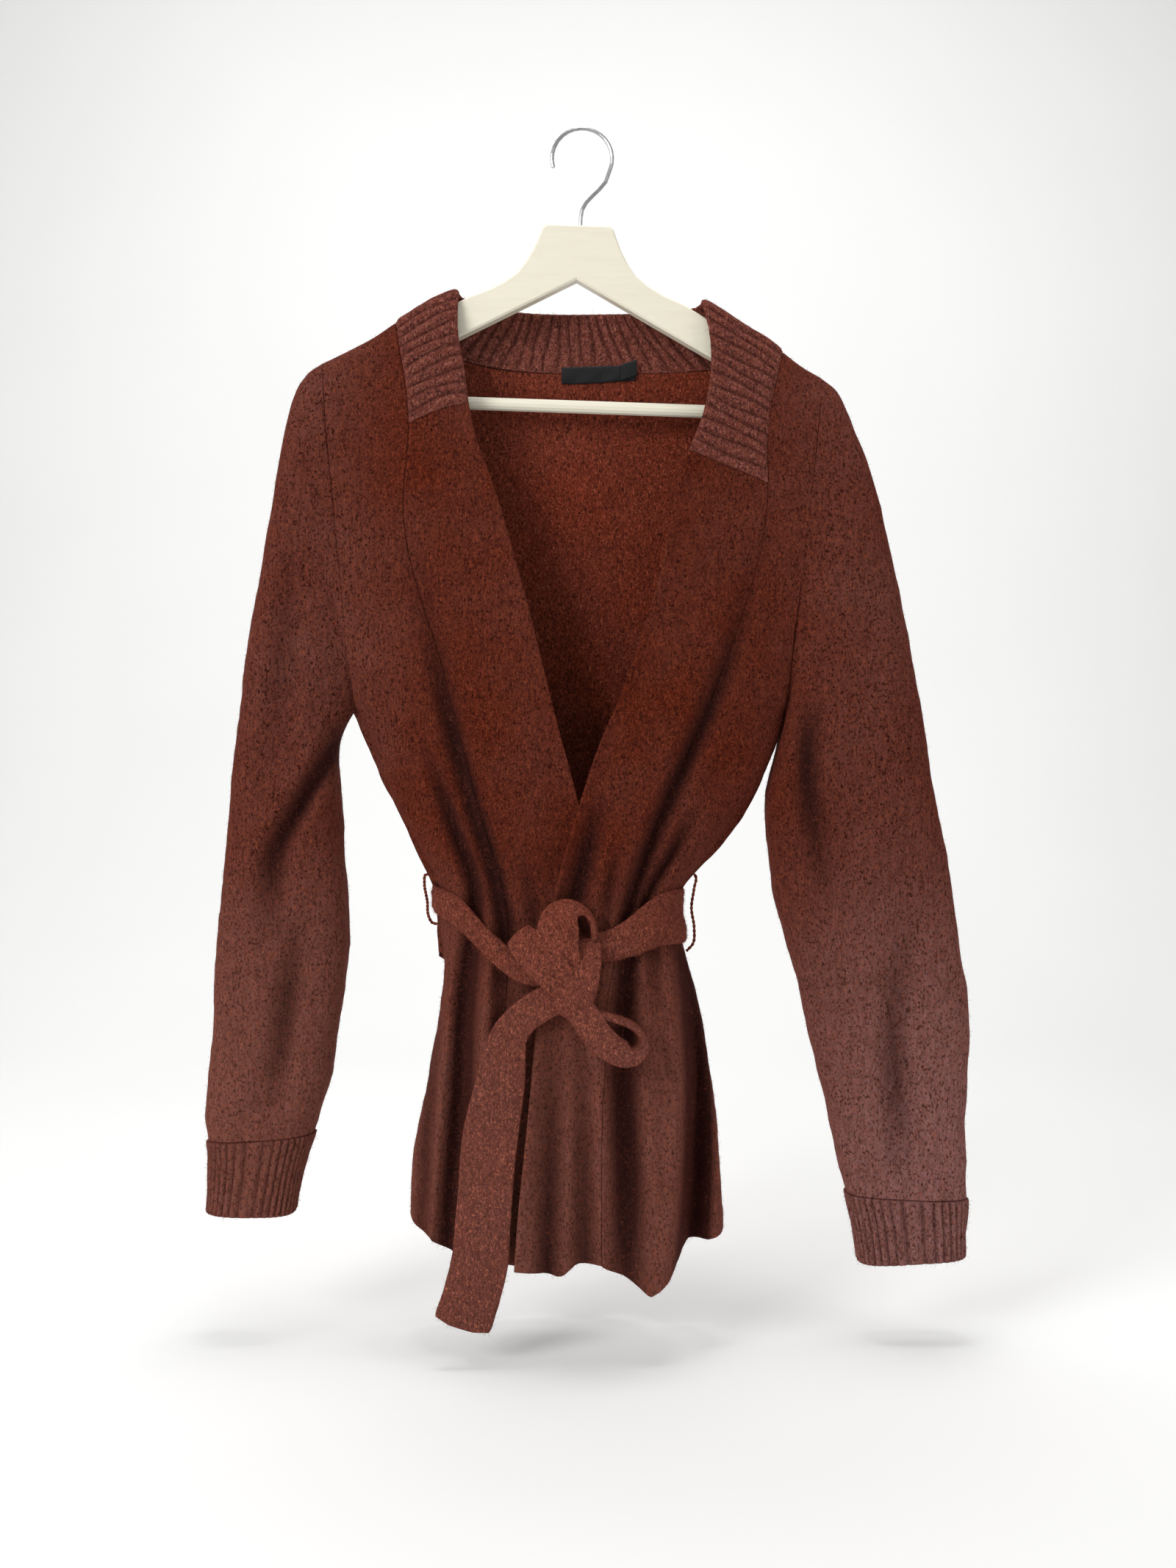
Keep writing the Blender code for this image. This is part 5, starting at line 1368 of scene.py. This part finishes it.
def fuzz_material():
    material, nodes, links, shader = new_material("wool_fibres")
    place = nodes.new("ShaderNodeTexCoord").outputs["Object"]
    choice = noise(nodes, links, place, 260.0, 2.0, 0.6)
    colour = ramp(nodes, links, choice, 0.36, 0.66, (0.10, 0.012, 0.007), (0.27, 0.075, 0.038))
    links.new(colour, shader.inputs["Base Color"])
    surface(shader, Roughness=0.8, Specular_IOR_Level=0.1)
    return material


def tape_material():
    material, nodes, links, shader = new_material("label_satin")
    place = nodes.new("ShaderNodeTexCoord").outputs["Object"]
    lines = nodes.new("ShaderNodeTexWave")
    lines.bands_direction = "Z"
    lines.inputs["Scale"].default_value = 900.0
    lines.inputs["Distortion"].default_value = 0.6
    links.new(place, lines.inputs["Vector"])
    dark, light = (0.003, 0.0032, 0.004), (0.009, 0.0095, 0.011)
    colour = ramp(nodes, links, lines.outputs["Fac"], 0.2, 0.9, dark, light)
    links.new(colour, shader.inputs["Base Color"])
    surface(shader, Roughness=0.6, Specular_IOR_Level=0.2)
    bumps(nodes, links, shader, (lines.outputs["Fac"], 0.4, 0.0002))
    return material


def paint_material():
    """Thin pale paint over wood, with a faint grain and slight marks."""
    material, nodes, links, shader = new_material("hanger_paint")
    place = nodes.new("ShaderNodeTexCoord").outputs["Object"]
    grain = noise(nodes, links, place, 1.0, 4.0, 0.6, (30.0, 260.0, 260.0), 0.8)
    colour = ramp(nodes, links, grain, 0.3, 0.7, (0.76, 0.715, 0.575), (0.80, 0.755, 0.62))
    links.new(colour, shader.inputs["Base Color"])
    surface(shader, Roughness=0.42, Coat_Weight=0.15, Coat_Roughness=0.3)
    bumps(nodes, links, shader, (grain, 0.12, 0.0004))
    return material


def steel_material():
    material, nodes, links, shader = new_material("hook_steel")
    place = nodes.new("ShaderNodeTexCoord").outputs["Object"]
    marks = noise(nodes, links, place, 400.0, 3.0, 0.6)
    colour = ramp(nodes, links, marks, 0.3, 0.7, (0.36, 0.36, 0.37), (0.50, 0.50, 0.51))
    links.new(colour, shader.inputs["Base Color"])
    surface(shader, Metallic=1.0, Roughness=0.32)
    return material


def floor_material():
    material, nodes, links, shader = new_material("pale_floor")
    place = nodes.new("ShaderNodeTexCoord").outputs["Object"]
    clouds = noise(nodes, links, place, 1.4, 2.0, 0.5)
    colour = ramp(nodes, links, clouds, 0.3, 0.7, (0.905, 0.905, 0.90), (0.93, 0.93, 0.925))
    links.new(colour, shader.inputs["Base Color"])
    surface(shader, Roughness=0.9, Specular_IOR_Level=0.1)
    return material


def make_floor():
    """A pale floor that curves up behind the object."""
    profile = [(-3.0, 0.0), (1.2, 0.0)]
    for step in range(1, 17):
        turn = step * math.pi / 32
        profile.append((1.2 + 1.4 * math.sin(turn), 1.4 * (1 - math.cos(turn))))
    profile.append((2.6, 5.0))
    points = []
    for x in (-5.0, 5.0):
        for y, z in profile:
            points.append((x * 1000, y * 1000, z * 1000 + FLOOR_Z))
    numbers = np.arange(len(points)).reshape(2, -1)
    quads = strip_faces(numbers[0], numbers[1])
    floor = mesh_object("floor", np.array(points), quads[:, ::-1], floor_material())


def add_light(name, place, target, size, power):
    light = bpy.data.lights.new(name, "AREA")
    light.shape = "RECTANGLE"
    light.size, light.size_y = size
    light.energy = power
    thing = bpy.data.objects.new(name, light)
    bpy.context.scene.collection.objects.link(thing)
    thing.location = place
    way = Vector(target) - Vector(place)
    thing.rotation_euler = way.to_track_quat("-Z", "Y").to_euler()


def make_stage():
    make_floor()
    scene = bpy.context.scene
    world = bpy.data.worlds.new("studio")
    scene.world = world
    world.use_nodes = True
    world.node_tree.nodes["Background"].inputs["Color"].default_value = (1.0, 1.0, 0.995, 1.0)
    world.node_tree.nodes["Background"].inputs["Strength"].default_value = 0.42
    add_light("key", (-1.5, -1.6, 0.30), (0.0, 0.0, -0.66), (1.0, 1.0), 31.0)
    add_light("fill", (1.8, -1.0, 0.2), (0.0, 0.0, -0.5), (1.0, 1.4), 8.0)
    add_light("overhead", (0.05, -0.05, 1.5), (0.0, 0.05, -1.0), (0.8, 0.5), 18.0)
    add_light("backdrop", (0.0, 0.9, 1.6), (0.0, 2.6, -0.2), (3.0, 1.0), 22.0)
    camera = bpy.data.cameras.new("camera")
    camera.lens = 33.2
    camera.sensor_width = 36.0
    thing = bpy.data.objects.new("camera", camera)
    scene.collection.objects.link(thing)
    thing.location = (0.0049, -1.2, -0.5424)
    thing.rotation_euler = (math.radians(90.0), 0.0, 0.0)
    scene.camera = thing
    scene.view_settings.view_transform = "Standard"


def dress(thing, nodes):
    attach(thing, "root")
    if nodes:
        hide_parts(*nodes)


def main():
    wool, inside, belt_wool, rib_wool = (wool_material(*row) for row in WOOLS)
    fibre = fuzz_material()
    made = {**make_back(inside), **make_fronts(wool), **make_collar(rib_wool), **make_sleeves(wool)}
    for name, rows in SHOWN_STRETCHES.items():
        made[name] = make_belt_stretch(name, rows, belt_wool)
    for name, rows in SHOWN_RIBBONS.items():
        made[name] = ribbon(name + "_cloth", rows, belt_wool, BELT_THICK)
    for name, (thing, outer, inner) in made.items():
        dress(thing, [name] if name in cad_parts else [])
    for name, thing in make_carriers(fibre).items():
        dress(thing, [name])
    tape = tape_material()
    label, tab = make_label(tape)
    dress(label, ["label"])
    dress(tab, [])
    for name, (thing, outer, inner) in made.items():
        sign = 1.0 if outer is inner else outward_sign(outer, inner)
        grids = [(outer, sign)]
        if name in ("back", "collar_rib"):
            grids.append((inner, -sign))
        seed = 100 + len(name) * 7 + ord(name[-1])
        fibres = fuzz(name + "_fuzz", grids, FUZZ_COUNTS[name], seed, fibre)
        dress(fibres, [])
    paint = paint_material()
    steel = steel_material()
    for name, material in (("hanger_wood", paint), ("hanger_bar", paint), ("hanger_hook", steel)):
        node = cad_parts[name]
        node.data.materials.clear()
        node.data.materials.append(material)
    make_stage()


# Name, and the rust, plum and pale colours, of each wool
WOOLS = (
    ("wool_outside", (0.094, 0.012, 0.004), (0.150, 0.054, 0.042), (0.240, 0.115, 0.112)),
    ("wool_back", (0.165, 0.025, 0.011), (0.150, 0.042, 0.030), (0.15, 0.05, 0.04)),
    ("wool_belt", (0.186, 0.034, 0.017), (0.100, 0.030, 0.025), (0.15, 0.05, 0.04)),
    ("wool_rib", (0.165, 0.040, 0.026), (0.150, 0.045, 0.033), (0.13, 0.04, 0.03)),
)
# Number of loose fibres drawn on each piece
FUZZ_COUNTS = {
    "back": 30000, "front_right": 15000, "front_left": 15000, "band_right": 9000,
    "band_left": 9000, "collar_rib": 12000, "sleeve_right": 22000, "sleeve_left": 24000,
    "cuff_right": 3500, "cuff_left": 3500, "belt_front_right": 1800, "belt_front_left": 2600,
    "belt_back": 3000, "belt_knot_top": 1300, "belt_knot_wrap": 900, "belt_tail": 6000,
    "belt_bow": 2600, "belt_knot_low": 1000,
}


main()
